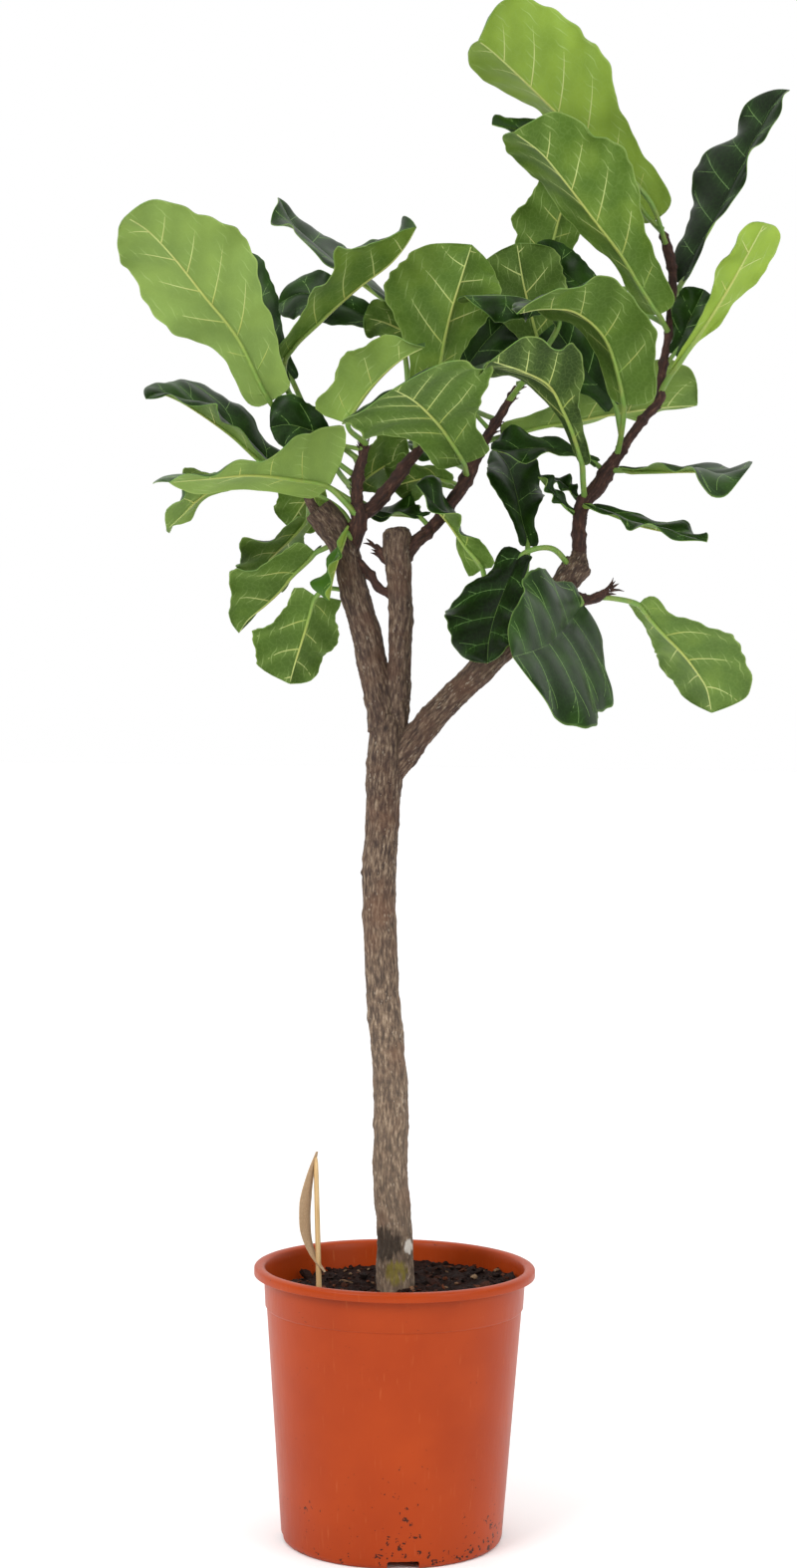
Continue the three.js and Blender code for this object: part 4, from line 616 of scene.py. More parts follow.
def leaf_face(tree, upper):
    """One face of a fiddle leaf. The upper face is dark and waxed, with a broad soft shine and pale hairline
    veins. The underside is a dull light green, and its rungs of fine veins stand out a little paler."""
    ages, (grey, raised, mesh, rungs, cord) = UPPER_GREENS if upper else UNDER_GREENS
    place = here(tree)
    vein = add(tree, "SeparateXYZ", {0: noted(tree, "vein", "Vector")})
    number, away, reach = vein.outputs
    # clouding over 40 mm, as parts of a blade age apart
    sway = ranged(tree, clouds(tree, place, 24), 0.3, 0.7, -0.1, 0.1)
    level = maths(tree, "ADD", ranged(tree, noted(tree, "tone"), -1, 1, 0, 1), sway)
    shade = ramp(tree, level, *zip((0, 0.5, 1), ages))
    shade = mixed(tree, noted(tree, "dull"), shade, grey)
    # paler towards the nearest side vein
    off = maths(tree, "SUBTRACT", maths(tree, "FRACT", number), 0.5)
    close = ranged(tree, maths(tree, "ABSOLUTE", off), 0.2, 0.5, 0, 1)
    shade = mixed(tree, maths(tree, "MULTIPLY", close, 0.18 if upper else 0.22), shade, raised)
    # rungs: thin veins 9 mm apart that cross from one side vein to the next
    shift = maths(tree, "MULTIPLY", clouds(tree, place, 55, 1), 1.1)
    rung = maths(tree, "PINGPONG", maths(tree, "MULTIPLY_ADD", away, 1 / 0.009, shift), 0.5)
    faint = maths(tree, "MULTIPLY", ranged(tree, rung, 0, 0.07, 1, 0), close)
    # netting: cells of about 5 mm
    edges = ranged(tree, cells(tree, place, 190, feature="DISTANCE_TO_EDGE"), 0, 0.09, 1, 0)
    net = maths(tree, "MULTIPLY", edges, 0.1 if upper else 0.13)
    shade = mixed(tree, net, shade, mesh)
    shade = mixed(tree, maths(tree, "MULTIPLY", faint, 0.3 if upper else 0.75), shade, rungs)
    # the margin is a thin pale cord
    shade = mixed(tree, ranged(tree, reach, 0.965, 1, 0, 0.5), shade, cord)
    links = {
        "Base Color": shade,
        "Normal": bumped(tree, maths(tree, "ADD", net, faint), 0.35, 0.0005, invert=upper),
    }
    if upper:
        shader(tree, links, in_Roughness=0.38, in_Specular_IOR_Level=0.13)
    else:
        shader(tree, links, in_Roughness=0.6, in_Specular_IOR_Level=0.15)


def leaf_vein(tree):
    """Leaf stalk and veins: fresh green where the stalk leaves the twig, yellowing along the midrib to the
    straw-green of the side veins, smooth and a little waxy."""
    shade = ramp(tree, noted(tree, "run"), (0, "#5D8433"), (0.3, "#7D9C3C"), (0.6, "#A9B457"), (1, "#B8C678"))
    share = ranged(tree, clouds(tree, here(tree), 90), 0.4, 0.8, 0, 0.3)
    shade = mixed(tree, share, shade, "#A8924A")
    # on the upper face a vein keeps nearer to the colour of its leaf
    level = ranged(tree, noted(tree, "tone"), -1, 1, 0, 1)
    green = ramp(tree, level, (0, "#54783A"), (0.5, "#688C40"), (1, "#8FAC48"))
    shader(tree, {"Base Color": mixed(tree, noted(tree, "above"), shade, green)}, in_Roughness=0.5)


def potting_soil(tree):
    """Potting mix: damp dark peat with crumbs of bark from near black to rust, and a few pale grains."""
    browns = (0, "#170905"), (0.45, "#2A1209"), (0.75, "#4A2413"), (0.93, "#6E3A20"), (1, "#9C8264")
    shade = ramp(tree, noted(tree, "crumb"), *browns)
    # grit of 1.5 mm
    grit = clouds(tree, here(tree), 650, 4, in_Roughness=0.7)
    shade = mixed(tree, ranged(tree, grit, 0.35, 0.6, 0.7, 0), shade, "#120A07")
    links = {"Base Color": shade, "Normal": bumped(tree, grit, 0.9, 0.002)}
    shader(tree, links, in_Roughness=0.93, in_Specular_IOR_Level=0.2)


def split_bamboo(tree):
    """Bamboo: a pale straw rod, fine fibres run its length, with a light wax to it."""
    # fibres 0.5 mm wide
    fibre = clouds(tree, stretched(tree, here(tree), 1900, 1900, 30), 1, 3)
    shade = ramp(tree, fibre, (0.3, "#B48F56"), (0.7, "#DDBE8C"))
    shader(tree, {"Base Color": shade, "Normal": bumped(tree, fibre, 0.3, 0.0003)}, in_Roughness=0.5)


def kraft_card(tree):
    """Unbleached kraft card: buff, matt, with short darker fibres pressed in every way."""
    pulp = clouds(tree, here(tree), 700, 4, in_Distortion=1.5)
    shade = ramp(tree, pulp, (0.3, "#A0835F"), (0.7, "#C2A585"))
    shader(tree, {"Base Color": shade, "Normal": bumped(tree, pulp, 0.2, 0.0003)}, in_Roughness=0.85)


def expanded_clay(tree):
    """A burnt clay bead: ochre, dull and pitted."""
    pit = clouds(tree, here(tree), 900, 3)
    shade = ramp(tree, pit, (0.35, "#7A4A2A"), (0.7, "#B87A48"))
    shader(tree, {"Base Color": shade, "Normal": bumped(tree, pit, 0.6, 0.0006)}, in_Roughness=0.85)


def studio_floor(tree):
    """Painted board: a pale, even, matt white."""
    shader(tree, {}, in_Base_Color=colour("#FEFEFE"), in_Roughness=0.9)


POT_PLASTIC = new_material("terracotta_polypropylene", polypropylene)
BARK = new_material("ficus_bark", ficus_bark)
LEAF_UPPER = new_material("leaf_upper_face", leaf_face, True)
LEAF_UNDER = new_material("leaf_underside", leaf_face, False)
LEAF_VEIN = new_material("leaf_vein", leaf_vein)
SOIL = new_material("potting_soil", potting_soil)
BAMBOO = new_material("bamboo", split_bamboo)
KRAFT = new_material("kraft_card", kraft_card)
CLAY = new_material("expanded_clay", expanded_clay)


# ---- pot ------------------------------------------------------------------------------------------------
def spun(name, profile, steps):
    """A closed shell turned about the upright axis from a profile that starts and ends on it."""
    data = bpy.data.meshes.new(name)
    corners = [(r * MM, 0, z * MM) for r, z in profile]
    data.from_pydata(corners, [(i, i + 1) for i in range(len(corners) - 1)], [])
    thing = placed(name, data)
    take(thing)
    bpy.ops.object.mode_set(mode="EDIT")
    bpy.ops.mesh.select_all(action="SELECT")
    bpy.ops.mesh.spin(steps=steps, angle=2 * math.pi, center=(0, 0, 0), axis=(0, 0, 1))
    bpy.ops.mesh.select_all(action="SELECT")
    bpy.ops.mesh.remove_doubles(threshold=1e-6)
    bpy.ops.mesh.normals_make_consistent(inside=False)
    bpy.ops.object.mode_set(mode="OBJECT")
    return thing


def wall_radius(z):
    """The pot's outer radius at a height: two cones with a small step between them."""
    if z < STEP_HEIGHT:
        return lerp(FOOT_RADIUS, STEP_RADIUS - STEP_INSET, (z - FOOT_ROUND) / (STEP_HEIGHT - FOOT_ROUND))
    return lerp(STEP_RADIUS, WALL_RADIUS_TOP, (z - STEP_HEIGHT) / (POT_HEIGHT - RIM_DEPTH - STEP_HEIGHT))


def turn(centre, radii, start, stop, count):
    """Points on part of an oval."""
    angles = [math.radians(lerp(start, stop, i / (count - 1))) for i in range(count)]
    return [(centre[0] + radii[0] * math.cos(a), centre[1] + radii[1] * math.sin(a)) for a in angles]


def make_pot():
    floor_top = SKIRT_HEIGHT + FLOOR_THICKNESS
    skirt_inside = FOOT_RADIUS - FOOT_ROUND
    under_rim = POT_HEIGHT - RIM_DEPTH
    groove = POT_HEIGHT - RIM_DEPTH / 2
    lip_inside = RIM_RADIUS - WALL
    half = RIM_WIDTH / 2
    foot = FOOT_ROUND * 0.6
    profile = [
        (0, 0), (BOSS_RADIUS, 0), (BOSS_RADIUS, SKIRT_HEIGHT), (skirt_inside, SKIRT_HEIGHT),
        (skirt_inside, 1.0), (skirt_inside + 1, 0),
        *turn((FOOT_RADIUS - foot, FOOT_ROUND), (foot, FOOT_ROUND), -90, 0, 7),
        *((wall_radius(z), z) for z in (60, 120, 180)),
        (wall_radius(STEP_HEIGHT - 1), STEP_HEIGHT - 1), (STEP_RADIUS - 0.3, STEP_HEIGHT + 0.2),
        (STEP_RADIUS, STEP_HEIGHT + 0.8),
        (WALL_RADIUS_TOP, under_rim), (WALL_RADIUS_TOP + 0.4, groove), (lip_inside, groove),
        (lip_inside, under_rim + 0.6),
        *turn((RIM_RADIUS - 0.8, under_rim + 0.8), (0.8, 0.8), -150, 0, 5),
        *turn((RIM_RADIUS - half, POT_HEIGHT - 3), (half, 3), 8, 172, 11),
        (WALL_RADIUS_TOP - WALL + 0.5, POT_HEIGHT - 6), (WALL_RADIUS_TOP - WALL, under_rim),
        (STEP_RADIUS - WALL, STEP_HEIGHT + 4), (wall_radius(floor_top + 3) - WALL, floor_top + 3),
        (wall_radius(floor_top) - WALL - 3, floor_top), (0, floor_top),
    ]
    shell = spun("pot", profile, 160)
    cutters = []
    for i in range(NOTCH_COUNT):
        cutter = primitive(bpy.ops.mesh.primitive_cube_add, size=MM)
        cutter.data.transform(Matrix.Diagonal((NOTCH_WIDTH, NOTCH_DEPTH, 2 * NOTCH_HEIGHT, 1)))
        modify(cutter, "BEVEL", width=2 * MM, segments=4)
        cutters.append((cutter, math.radians(NOTCH_TURN) + 2 * math.pi * i / NOTCH_COUNT, FOOT_RADIUS - 6, 0))
    drain = {"radius": DRAIN_RADIUS * MM, "depth": 4 * FLOOR_THICKNESS * MM}
    for i in range(DRAIN_COUNT):
        cutter = primitive(bpy.ops.mesh.primitive_cylinder_add, vertices=40, **drain)
        cutters.append((cutter, 2 * math.pi * (i + 0.5) / DRAIN_COUNT, DRAIN_RING, SKIRT_HEIGHT + 1.2))
    for cutter, angle, away, height in cutters:
        move = Matrix.Translation((0, -away * MM, height * MM))
        cutter.data.transform(Matrix.Rotation(angle, 4, "Z") @ move)
    tool = joined(*(cutter for cutter, *_ in cutters))
    modify(shell, "BOOLEAN", object=tool, operation="DIFFERENCE", solver="EXACT")
    bpy.data.objects.remove(tool)
    smooth(shell, 28)
    finished(shell, "nursery_pot", "pot", "pot_plastic", POT_PLASTIC)


# ---- soil -----------------------------------------------------------------------------------------------
SOIL_RINGS = 44
# crumbs: how finely each is cut, how many, and the smallest and largest
CRUMBS = (1, 900, 0.9, 3.4), (2, 70, 3.5, 7)
BEAD_PLACE = (30, -62)
BEAD_SIZE = (5.2, 4.4, 3.6)


def soil_height(x, y):
    """The soil's level: a little higher to the right, heaped in lumps of three sizes."""
    rough = lumps(x / 26, y / 26, 3) * 6 + lumps(x / 9, y / 9, 7) * 4
    return SOIL_LEVEL + SOIL_SLOPE * x + rough + lumps(x / 3.5, y / 3.5, 9) * 2


def make_soil():
    wall = wall_radius(STEP_HEIGHT) - WALL - 0.2
    base = SKIRT_HEIGHT + FLOOR_THICKNESS + 0.3
    profile = [
        (0, base), (wall_radius(base) - WALL - 0.4, base), (wall - 2, STEP_HEIGHT - 2),
        (wall, SOIL_LEVEL - 4),
        *((wall * (1 - i / SOIL_RINGS), SOIL_LEVEL) for i in range(1, SOIL_RINGS)),
        (0, SOIL_LEVEL),
    ]
    bed = spun("soil", profile, 200)
    p = places(bed)
    top = p[:, 2] > SOIL_LEVEL - 1
    upper = p[:, 2] > STEP_HEIGHT
    p[upper, 2] += SOIL_SLOPE * p[upper, 0]
    p[top, 2] = [soil_height(x, y) for x, y in p[top, :2]]
    move_to(bed, p)
    note(bed, "crumb", [0.25 + 0.5 * lumps(*point / 5) for point in p])
    smooth(bed, 60)
    draw = random.Random(17)
    crumbs = []
    for steps, count, small, large in CRUMBS:
        model = primitive(bpy.ops.mesh.primitive_ico_sphere_add, subdivisions=steps, radius=1)
        shape = np.array([v.co for v in model.data.vertices])
        faces = np.array([tuple(f.vertices) for f in model.data.polygons])
        corners, sides, shades = [], [], []
        for i in range(count):
            radius, angle = (wall - 5) * math.sqrt(draw.uniform(0.03, 1)), draw.uniform(0, 2 * math.pi)
            x, y = radius * math.cos(angle), radius * math.sin(angle)
            size = lerp(small, large, draw.random() ** 2)
            stretch = np.array([draw.uniform(0.8, 1.9), draw.uniform(0.6, 1), draw.uniform(0.35, 0.8)]) * size
            lumpy = shape * (1 + 0.3 * np.array([draw.uniform(-1, 1) for _ in shape])[:, None])
            way = Matrix.Rotation(draw.uniform(0, 6.28), 3, "Z")
            way = way @ Matrix.Rotation(draw.uniform(-0.6, 0.6), 3, "Y")
            corners.append((lumpy * stretch) @ np.array(way).T + (x, y, soil_height(x, y) + 0.3 * size))
            sides.append(faces + len(shape) * i)
            shades += [draw.random()] * len(shape)
        data = bpy.data.meshes.new("crumbs")
        data.from_pydata((np.vstack(corners) * MM).tolist(), [], np.vstack(sides).tolist())
        thing = placed("crumbs", data)
        note(thing, "crumb", shades)
        smooth(thing, 50)
        crumbs.append(thing)
        bpy.data.objects.remove(model)
    loose = joined(*crumbs)
    finished(bed, "soil_bed", "soil", "potting_soil", SOIL)
    finished(loose, "soil_crumbs", None, "potting_soil", SOIL)
    # one clay bead lies in front of the trunk, to its right
    bead = primitive(bpy.ops.mesh.primitive_ico_sphere_add, subdivisions=4, radius=1)
    p = places(bead) * MM
    lump = np.array([1 + 0.18 * lumps(*q * 1.6) for q in p])[:, None]
    move_to(bead, p * lump * BEAD_SIZE + (*BEAD_PLACE, soil_height(*BEAD_PLACE) + 3))
    smooth(bead)
    finished(bead, "clay_bead", None, "potting_soil", CLAY)


# ---- wood -----------------------------------------------------------------------------------------------
ROUTES = {name: Route(seen(route), 16) for name, route in WOOD.items()}
# scars and swellings where a leaf, a bud or a twig has been: across, up, depth, breadth and height
KNOBS = (
    (7, 395, -12, 4, 1.6), (-30, 745, -6, 4, 2.2), (-27, 655, -8, 3.5, 1.6), (-1, 690, -14, 3, 1.6),
    (-36, 640, -5, 3, 2.4), (16, 720, -10, 3, 1.6), (-60, 905, 0, 4, 1.6), (10, 880, -4, 4, 1.6),
    (-72, 962, 0, 7, 3), (-96, 984, 8, 6, 3), (-60, 976, 0, 6, 2.5), (-86, 1000, 10, 5, 3),
    (-50, 950, -2, 5, 2.5), (10, 950, -6, 4, 2), (150, 926, 6, 6, 2.5), (178, 936, 16, 6, 2.5),
    (-21, 705, -14, 4, 2), (-33, 600, -6, 5, 1.8), (13, 560, 0, 4, 1.6), (-30, 500, 0, 4, 1.6),
    (11, 470, -2, 4, 1.6), (-20, 398, 0, 4, 1.6), (10, 320, -4, 4, 1.6),
)
# how young the bark of a stem is; the others are all young
YOUTH = {"trunk": 0.0, "left_limb": 0.05, "middle_limb": 0.05, "right_limb": 0.05}
# bud scales: how many on a shoot, and from which share of its length to which
SCRAPS = (
    ("left_twig", 26, 0.1, 1), ("centre_twig", 22, 0.1, 1), ("hub", 10, 0.3, 1), ("stub_shoot", 9, 0.5, 1),
    ("side_shoot", 30, 0.05, 1), ("right_shoot", 34, 0.0, 0.5), ("side_bud", 7, 0.5, 1),
    ("cross_twig", 7, 0.3, 1), ("low_shoot", 10, 0.6, 1),
)
SCRAP_RADII = (1.1, 1.5, 1.0, 0.25)
# the radii that round off the sawn end of the middle limb
SAWN_END = (12.6, 11.5, 7.5)


def wood_point(name, place):
    """A point on a stem's middle line, at a route number that may lie between two of its points."""
    route = seen(WOOD[name])
    k = min(int(place), len(route) - 2)
    return route[k] + (route[k + 1] - route[k]) * (place - k)


def ridged(x, y, z):
    return 1 - 2 * abs(lumps(x, y, z))


def bark_relief(grain, youth):
    """How far the bark stands out at a place of the grain, in millimetres."""
    x, y, s = grain
    lump = lumps(x / 13, y / 13, s / 22) * 1.3
    foot = max(0, 1 - s / 420) * (1 - youth)
    plate = ridged(x / 4.5, y / 4.5, s / 15) * (0.7 + 0.7 * foot) + lumps(x / 2.2, y / 2.2, s / 5) * 0.35
    ring = max(0, math.cos(s / 5.2 + 2 * lumps(0, 0, s / 30))) ** 6
    return lump * (1 - 0.3 * youth) + plate * (1 + 0.3 * youth) + ring * (0.35 + 1.0 * youth) - 0.3


def make_trunk():
    lines = []
    samples = []
    for name, route in WOOD.items():
        run = ROUTES[name]
        s = np.arange(0, run.length, 4)
        knots = np.interp(np.arange(len(route)), np.arange(len(run.run)) / run.per, run.run)
        radius = np.interp(s, knots, [p[3] for p in route])
        lines.append((run.point(s), radius))
        young = YOUTH.get(name, 1.0)
        samples.append(np.column_stack([run.point(s), run.tangent(s), s, radius, np.full(len(s), young)]))
        if name == "middle_limb":
            # the sawn end has weathered round
            tip, way = run.at_one(run.length)
            lines.append(([tip - 2 * way, tip + 2 * way, tip + 4 * way], SAWN_END))
    stems = rods("stems", lines, bevel=5)
    modify(stems, "REMESH", mode="VOXEL", voxel_size=1.45 * MM)
    samples = np.vstack(samples)
    p = places(stems)
    nearest = np.empty(len(p), int)
    for i in range(0, len(p), 4000):
        part = p[i : i + 4000]
        away = np.linalg.norm(part[:, None] - samples[None, :, :3], axis=2) - samples[None, :, 7]
        nearest[i : i + 4000] = away.argmin(1)
    grain, youth = grain_of(p, samples[nearest])
    normals = np.empty(len(p) * 3)
    stems.data.vertices.foreach_get("normal", normals)
    lift = np.array([bark_relief(g, w) for g, w in zip(grain, youth)])
    for x, z, y, r, tall in KNOBS:
        lift += tall * np.exp(-((np.linalg.norm(p - seen([(x, z, y)])[0], axis=1) / r) ** 2))
    move_to(stems, p + normals.reshape(-1, 3) * lift[:, None])
    note(stems, "grain", grain * MM)
    note(stems, "youth", youth)
    smooth(stems)
    finished(joined(stems, make_scraps()), "fig_trunk", "trunk", "bark", BARK)


def grain_of(p, near):
    """Each point's place round and along its stem, with how young that stem is."""
    centre, way, s = near[:, :3], near[:, 3:6], near[:, 6]
    off = p - centre
    ahead = (off * way).sum(1)
    off -= ahead[:, None] * way
    side = unit(np.cross(way, (0.0, 1.0, 0.0)))
    front = np.cross(side, way)
    grain = np.column_stack([(off * side).sum(1), (off * front).sum(1), s + ahead])
    return grain, near[:, 8]


def make_scraps():
    """Dry bud scales: thin curled scraps that stay on the young shoots and stick out at their tips."""
    draw = random.Random(4)
    spots = []
    for name, count, first, last in SCRAPS:
        for _ in range(count):
            spots.append((ROUTES[name], ROUTES[name].length * draw.uniform(first, 1) * last))
    lines = []
    for route, s in spots:
        at, way = route.at_one(s)
        across = np.array([draw.uniform(-1, 1) for _ in range(3)])
        across -= across.dot(way) * way
        across /= np.linalg.norm(across)
        length = draw.uniform(5, 10) * (1.3 if s > route.length * 0.8 else 0.9)
        root = at + across * 3
        bend = draw.uniform(0.2, 0.9)
        points = [root + (way * t + across * bend * t * t) * length for t in (0, 0.35, 0.7, 1)]
        lines.append((points, SCRAP_RADII))
    scraps = rods("scraps", lines, bevel=0)
    note(scraps, "grain", places(scraps) * MM)
    note(scraps, "youth", np.ones(len(scraps.data.vertices)))
    smooth(scraps, 50)
    return scraps


# ---- label ----------------------------------------------------------------------------------------------
def make_label():
    foot, head = seen([STICK_FOOT, STICK_HEAD])
    share, thick = np.array([(0, 1), (0.3, 1), (0.6, 0.97), (0.9, 0.9), (0.97, 0.8), (1, 0.45)]).T
    stick = rods("stick", [(foot + (head - foot) * share[:, None], STICK_RADIUS * thick)], bevel=6)
    smooth(stick, 50)
    finished(stick, "label_stick_rod", "label_stick", "bamboo", BAMBOO)
    route = Route(seen(TAG_ROUTE))
    card = primitive(bpy.ops.mesh.primitive_grid_add, x_subdivisions=12, y_subdivisions=60, size=2)
    p = places(card) * MM
    t = (p[:, 1] + 1) / 2
    way = route.tangent(t * route.length)
    angle = np.radians(lerp(60, 72, t))
    wide = np.column_stack([np.cos(angle), np.sin(angle), np.zeros(len(t))])
    face = unit(np.cross(wide, way))
    half = TAG_WIDTH / 2 * np.minimum(1, np.minimum(0.15 + 2.2 * t, 0.15 + 2.2 * (1 - t)))
    cup = 1.8 * (p[:, 0] ** 2) * np.sin(math.pi * t)
    move_to(card, route.point(t * route.length) + wide * (p[:, 0] * half)[:, None] + face * cup[:, None])
    modify(card, "SOLIDIFY", thickness=TAG_THICKNESS * MM, offset=0)
    smooth(card, 40)
    finished(card, "label_card_blank", "label_card", "kraft_card", KRAFT)


# ---- leaves ---------------------------------------------------------------------------------------------
# a blade's width at shares of its length, against its broadest
OUTLINE = [
    (0, 0.02), (0.025, 0.22), (0.06, 0.34), (0.18, 0.36), (0.34, 0.56), (0.52, 0.86), (0.7, 1), (0.85, 0.92),
    (0.92, 0.76), (0.965, 0.52), (0.99, 0.24), (1, 0.03),
]
# the margin's slow lobes: size, how many to a length, and how far each leaf's own phase shifts them
LOBES = (0.045, 2.6, 1.0), (0.02, 11.0, 4.1)
NOTCH = 0.07
# a blade's cross section bows up between midrib and margin, by this many degrees at each
BOW = 15
RUFFLE = 2.9
PILLOW = 1.3
# side veins, in millimetres: how far apart, how much they lean and sweep towards the tip
VEIN_SPACING = 40
VEIN_LEAN = 0.66
VEIN_SWEEP = 0.006
VEIN_START = 0.6
VEIN_STEP = 4.0
VEIN_RADIUS = 0.82
FORK_RADIUS = 0.48
# forks: at which share of their vein, and how much they lean
FORKS = (0.52, -0.1), (0.7, 1.25)
SHORTEST_FORKED = 110
# blades broader than this to one side, in millimetres, lie flatter and their veins run more across
BROAD = 80
# the right side's veins lie this share of their spacing nearer the tip, and the left's nearer the stalk
VEIN_STAGGER = 0.22
# how far a vein shows above the upper face
VEIN_PROUD = 0.16
# the midrib's radius at shares of the blade's length, against the stalk's
MIDRIB = ((0, 0.1, 0.5, 1), (0.88, 0.72, 0.42, 0.17))
BLADE_COLUMNS = 42
ROW_LENGTH = 2.6


class Blade:
    """A fiddle leaf from its row in the table, read at a share u of its length and v of its half width."""

    def __init__(self, name, root, stalk, rib, top, wide, fold):
        self.name, self.top, self.wide, self.fold = name, top, wide, fold
        self.route = Route(np.vstack([wood_point(*root)[None], seen(stalk + rib)]))
        self.start = self.route.run[self.route.per * (len(stalk) + 1)]
        self.length = self.route.length - self.start
        seed = len(name) * 7 + round(abs(rib[0][0]) + rib[0][1])
        self.phase = drawn(seed) * 2 * math.pi
        self.veins = max(3, round(self.length / VEIN_SPACING))
        self.spacing = self.length / self.veins
        self.calm = min(1, BROAD / max(np.max(side) for side in self.wide))
        self.lean = VEIN_LEAN * self.calm
        self.sweep = VEIN_SWEEP * self.calm**2 * VEIN_SPACING / self.spacing

    def half(self, u, right):
        """Half the blade's width in millimetres, with the slow lobes of its margin."""
        wide = np.where(right, along(self.wide[1], u), along(self.wide[0], u))
        lobe = 0
        for size, waves, shift in LOBES:
            sway = np.sin(2 * math.pi * waves * u + shift * self.phase + 2.1 * right)
            lobe = lobe + size * self.calm * sway
        # the margin is drawn in a little where each side vein ends
        ends = np.abs(np.sin(math.pi * self.veins * 0.75 * u + self.phase + right)) - 0.6
        lobe = lobe + NOTCH * self.calm**2 * ends
        return wide * eased(u, *zip(*OUTLINE)) * (1 + lobe)

    def vein_number(self, s, d, right):
        """How many side veins lie between the stalk and a place on the blade."""
        stagger = VEIN_STAGGER * np.where(right, 1, -1) * np.clip(d / 4, 0, 1)
        return (s - self.lean * d - self.sweep * d * d) / self.spacing - stagger

    def lay(self, u, v):
        """Places on the blade, and for each its vein number, distance from the midrib and share of that."""
        u, v = np.broadcast_arrays(np.asarray(u, float), np.asarray(v, float))
        right = v >= 0
        s = self.start + u * self.length
        point, way = self.route.point(s), self.route.tangent(s)
        up = np.column_stack([along([vector[i] for vector in self.top], u) for i in range(3)])
        up = unit(up - (up * way).sum(1)[:, None] * way)
        across = np.cross(way, up)
        share = eased(u, *zip(*OUTLINE))
        half = self.half(u, right)
        fold = np.where(right, along(self.fold[1], u), along(self.fold[0], u))
        a, c = np.radians(fold + BOW), math.radians(-2 * BOW)
        reach = np.abs(v)
        b = a + c * reach
        out = half * (np.sin(b) - np.sin(a)) / c
        rise = half * (np.cos(a) - np.cos(b)) / c
        side = np.where(right, 2, 1)
        wave = RIPPLE * v * v * share * np.sin(self.phase * side + 2 * math.pi * 2.6 * u)
        run = u * self.length
        ruffle = np.sin(run / 7 + 3 * self.phase * side) + 0.7 * np.sin(run / 11.3 + 5 * self.phase * side)
        wave += RUFFLE * self.calm**2 * reach**4 * share * ruffle
        number = self.vein_number(u * self.length, reach * half, right)
        pillow = np.sin(math.pi * number) ** 2 * np.clip(reach * half / 10, 0, 1)
        pillow *= np.clip((1 - reach) * 5, 0, 1)
        back = EAR * reach * np.clip(1 - u / 0.16, 0, 1) * np.clip(share / 0.3, 0, 1)
        lift = rise + wave + PILLOW * pillow * min(1, self.spacing / 36)
        place = point + across * (np.sign(v) * out)[:, None] + up * lift[:, None] - way * back[:, None]
        return place, np.column_stack([number, reach * half * MM, reach])

    def outward(self, u, v, step=2e-3):
        """The way that the upper face looks."""
        along_u = self.lay(np.minimum(u + step, 1), v)[0] - self.lay(np.maximum(u - step, 0), v)[0]
        along_v = self.lay(u, np.minimum(v + step * 5, 1))[0] - self.lay(u, np.maximum(v - step * 5, -1))[0]
        return unit(np.cross(along_v, along_u))

    def sunk(self, u, v, radius):
        """Middle points of a vein that stands proud of the underside and just shows on the upper face."""
        return self.lay(u, v)[0] - self.outward(u, v) * (radius - BLADE_THICKNESS / 2 - VEIN_PROUD)[:, None]

    def side_vein(self, side, s0, d0, lean, sweep, radius, stop=0.96):
        """A vein that leaves at s0, d0 and runs outwards to near the margin."""
        right = side > 0
        d = np.arange(d0, 260, VEIN_STEP)
        s = s0 + lean * (d - d0) + sweep * (d - d0) ** 2
        u = s / self.length
        inside = (u > 0.005) & (u < 0.985)
        half = self.half(np.clip(u, 0, 1), np.full(len(u), right))
        v = d / np.maximum(half, 1e-6)
        inside &= v < stop
        count = len(d) if inside.all() else int(np.argmin(inside))
        if count < 3:
            return None
        u, v = u[:count], v[:count] * side
        thin = radius * np.linspace(1, 0.45, count)
        return self.sunk(u, v, thin), thin

    def vein_lines(self):
        """Middle points and radii of the stalk with its midrib, of the side veins and of their forks."""
        t = np.linspace(0, 1, 60)
        s = self.route.length * t * 0.985
        u = np.clip((s - self.start) / self.length, 0, 1)
        swell = 1 + 0.35 * np.exp(-s / 5)
        stem = STALK_RADIUS * np.where(s < self.start, 0.95, np.interp(u, *MIDRIB))
        radius = stem * swell * min(1, 0.55 + self.length / 300)
        middle = self.route.point(s)
        blend = np.clip((s - self.start) / 8, 0, 1)[:, None]
        lines = [(middle * (1 - blend) + self.sunk(u, np.zeros(len(u)), radius) * blend, radius)]
        scale = min(1, 0.6 + self.spacing / 100)
        for side in (-1, 1):
            for k in range(self.veins + 1):
                s0 = self.spacing * (k + VEIN_STAGGER * side)
                main = self.side_vein(side, s0, VEIN_START, self.lean, self.sweep, VEIN_RADIUS * scale)
                if main is None:
                    continue
                lines.append(main)
                if self.length < SHORTEST_FORKED:
                    continue
                reach = VEIN_START + VEIN_STEP * (len(main[0]) - 1)
                for share, lean in FORKS:
                    d1 = reach * share
                    s1 = s0 + self.lean * (d1 - VEIN_START) + self.sweep * (d1 - VEIN_START) ** 2
                    fork = self.side_vein(side, s1, d1, lean, 0.004, FORK_RADIUS * scale, 0.9)
                    if fork is not None:
                        lines.append(fork)
        return lines


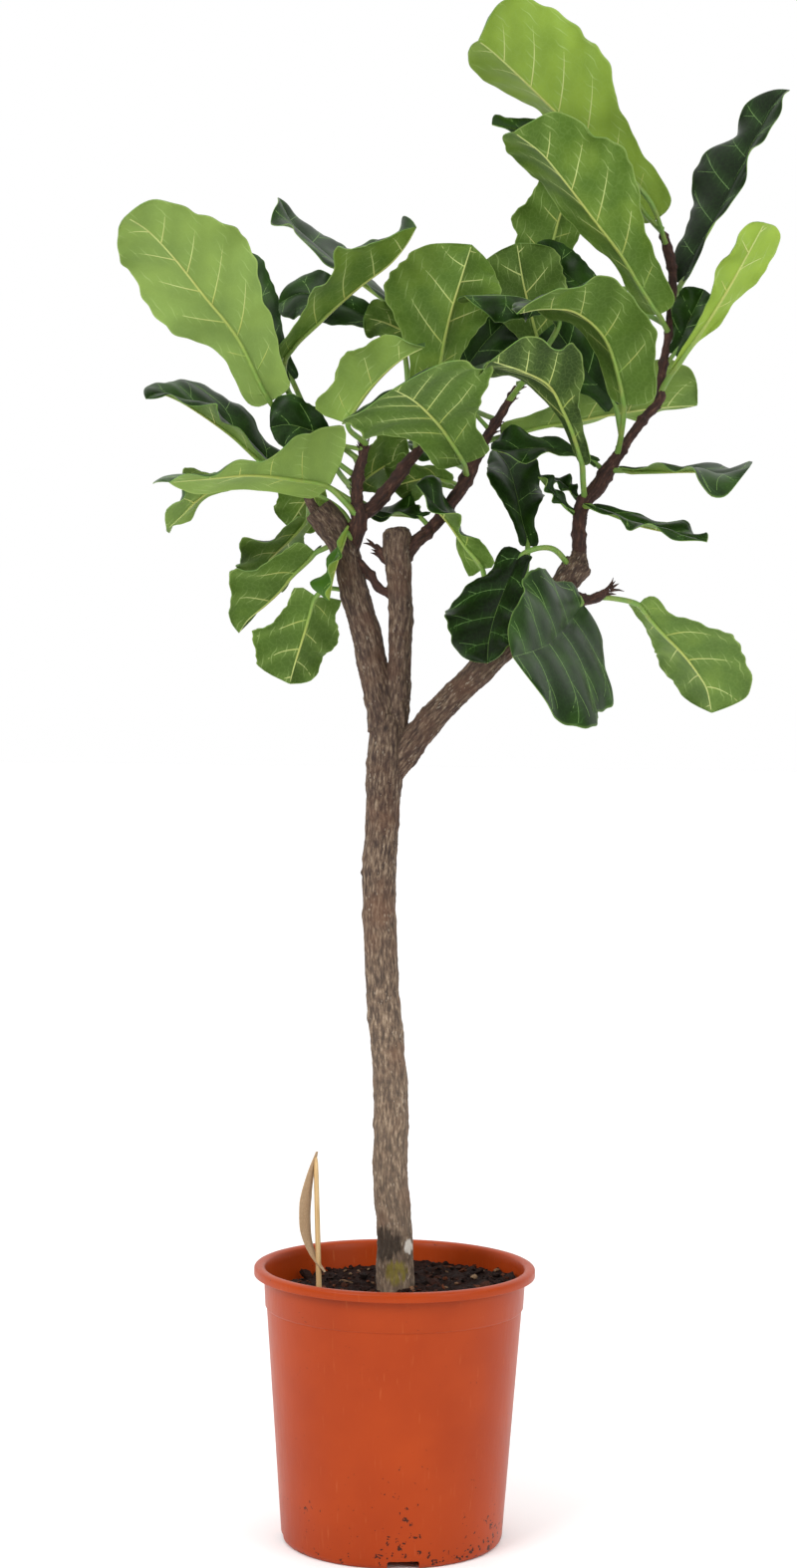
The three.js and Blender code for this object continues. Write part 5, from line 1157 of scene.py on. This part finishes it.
def make_leaf(row):
    name = row[0]
    blade = Blade(*row)
    rows = int(min(110, max(36, blade.length / ROW_LENGTH)))
    counts = {"x_subdivisions": BLADE_COLUMNS, "y_subdivisions": rows}
    sheet = primitive(bpy.ops.mesh.primitive_grid_add, size=2, **counts)
    p = places(sheet) * MM
    u, v = (p[:, 1] + 1) / 2, p[:, 0]
    laid, veins = blade.lay(u, v)
    move_to(sheet, laid)
    note(sheet, "vein", veins)
    for material in (LEAF_UPPER, LEAF_UNDER, LEAF_VEIN):
        sheet.data.materials.append(material)
    layers = {"material_offset": 1, "material_offset_rim": 2}
    modify(sheet, "SOLIDIFY", thickness=BLADE_THICKNESS * MM, offset=0, **layers)
    smooth(sheet, 50)
    ribs = rods("ribs", blade.vein_lines(), material=LEAF_VEIN)
    q = places(ribs)
    middle = blade.route.point(np.linspace(0, blade.route.length, 40))
    away = np.array([np.linalg.norm(middle - point, axis=1) for point in q])
    run = away.argmin(1) / 39 * blade.route.length
    young = np.clip((run - blade.start) / blade.length, 0, 1)
    note(ribs, "run", np.clip(young + away.min(1) / 40, 0, 1))
    faces_up = blade.outward(u, v)
    tree = KDTree(len(laid))
    for i, point in enumerate(laid):
        tree.insert(point, i)
    tree.balance()
    near = np.array([tree.find(point)[1] for point in q])
    lift = ((q - laid[near]) * faces_up[near]).sum(1)
    note(ribs, "above", np.where((lift > 0.1) & (young > 0.01), 1.0, 0.0))
    smooth(ribs)
    whole = joined(sheet, ribs)
    for look, table in (("tone", TONE), ("dull", DULL)):
        note(whole, look, np.full(len(whole.data.vertices), table.get(name, 0.0)))
    finished(whole, name + "_blade", name, "leaf")


make_pot()
make_soil()
make_trunk()
make_label()
for row in LEAVES:
    make_leaf(row)


# ---- studio ---------------------------------------------------------------------------------------------
floor = primitive(bpy.ops.mesh.primitive_plane_add, size=80)
floor.name = "studio_floor"
floor.data.materials.append(new_material("studio_floor", studio_floor))

# the photo's camera: it looks up by 1.4 degrees and is rolled by 0.67
TILT = math.radians(1.4)
ROLL = math.radians(0.67)
FOCAL_PIXELS = 2779
FRAME_PIXELS = 1574
SENSOR = 36
camera_data = bpy.data.cameras.new("camera")
camera_data.sensor_fit = "VERTICAL"
camera_data.sensor_height = SENSOR
camera_data.lens = SENSOR * FOCAL_PIXELS / FRAME_PIXELS
camera_data.clip_end = 200
camera = placed("camera", camera_data)
ahead, level = Vector((0, 1, 0)), Vector((-math.sin(ROLL), 0, math.cos(ROLL)))
camera_up = math.sin(TILT) * ahead + math.cos(TILT) * level
camera_back = math.sin(TILT) * level - math.cos(TILT) * ahead
camera_right = camera_up.cross(camera_back)
facing = Matrix((camera_right, camera_up, camera_back)).transposed().to_4x4()
camera.matrix_world = Matrix.Translation(FRONT_EYE * MM) @ facing
bpy.context.scene.camera = camera


def soft_light(name, place, target, size, power):
    """A large square softbox that looks at a point."""
    data = bpy.data.lights.new(name, "AREA")
    data.size = size
    data.energy = power
    lamp = placed(name, data)
    lamp.location = place
    lamp.rotation_euler = (Vector(target) - Vector(place)).to_track_quat("-Z", "Y").to_euler()


soft_light("key_light", (-1.9, -2.3, 2.3), (0, 0, 0.8), 1.5, 56)
soft_light("fill_light", (2.3, -1.9, 1.4), (0, 0, 0.8), 1.5, 26)

# the room: a bright ceiling and a bright wall behind the plant, dim where the viewer stands
world = bpy.data.worlds.new("studio")
bpy.context.scene.world = world
world.use_nodes = True
sky = world.node_tree
sky.nodes.clear()
way = add(sky, "SeparateXYZ", {0: add(sky, "TexCoord").outputs["Generated"]})
ceiling = ranged(sky, way.outputs[2], 0.25, 0.65, 0, 1.3)
wall = ranged(sky, way.outputs[1], -0.1, 0.5, 0.12, 1.0)
room = maths(sky, "MAXIMUM", ceiling, wall)
light = add(sky, "Background", {0: room}, in_Strength=1.0)
add(sky, "OutputWorld", {0: light.outputs[0]})
bpy.context.scene.view_settings.view_transform = "Standard"
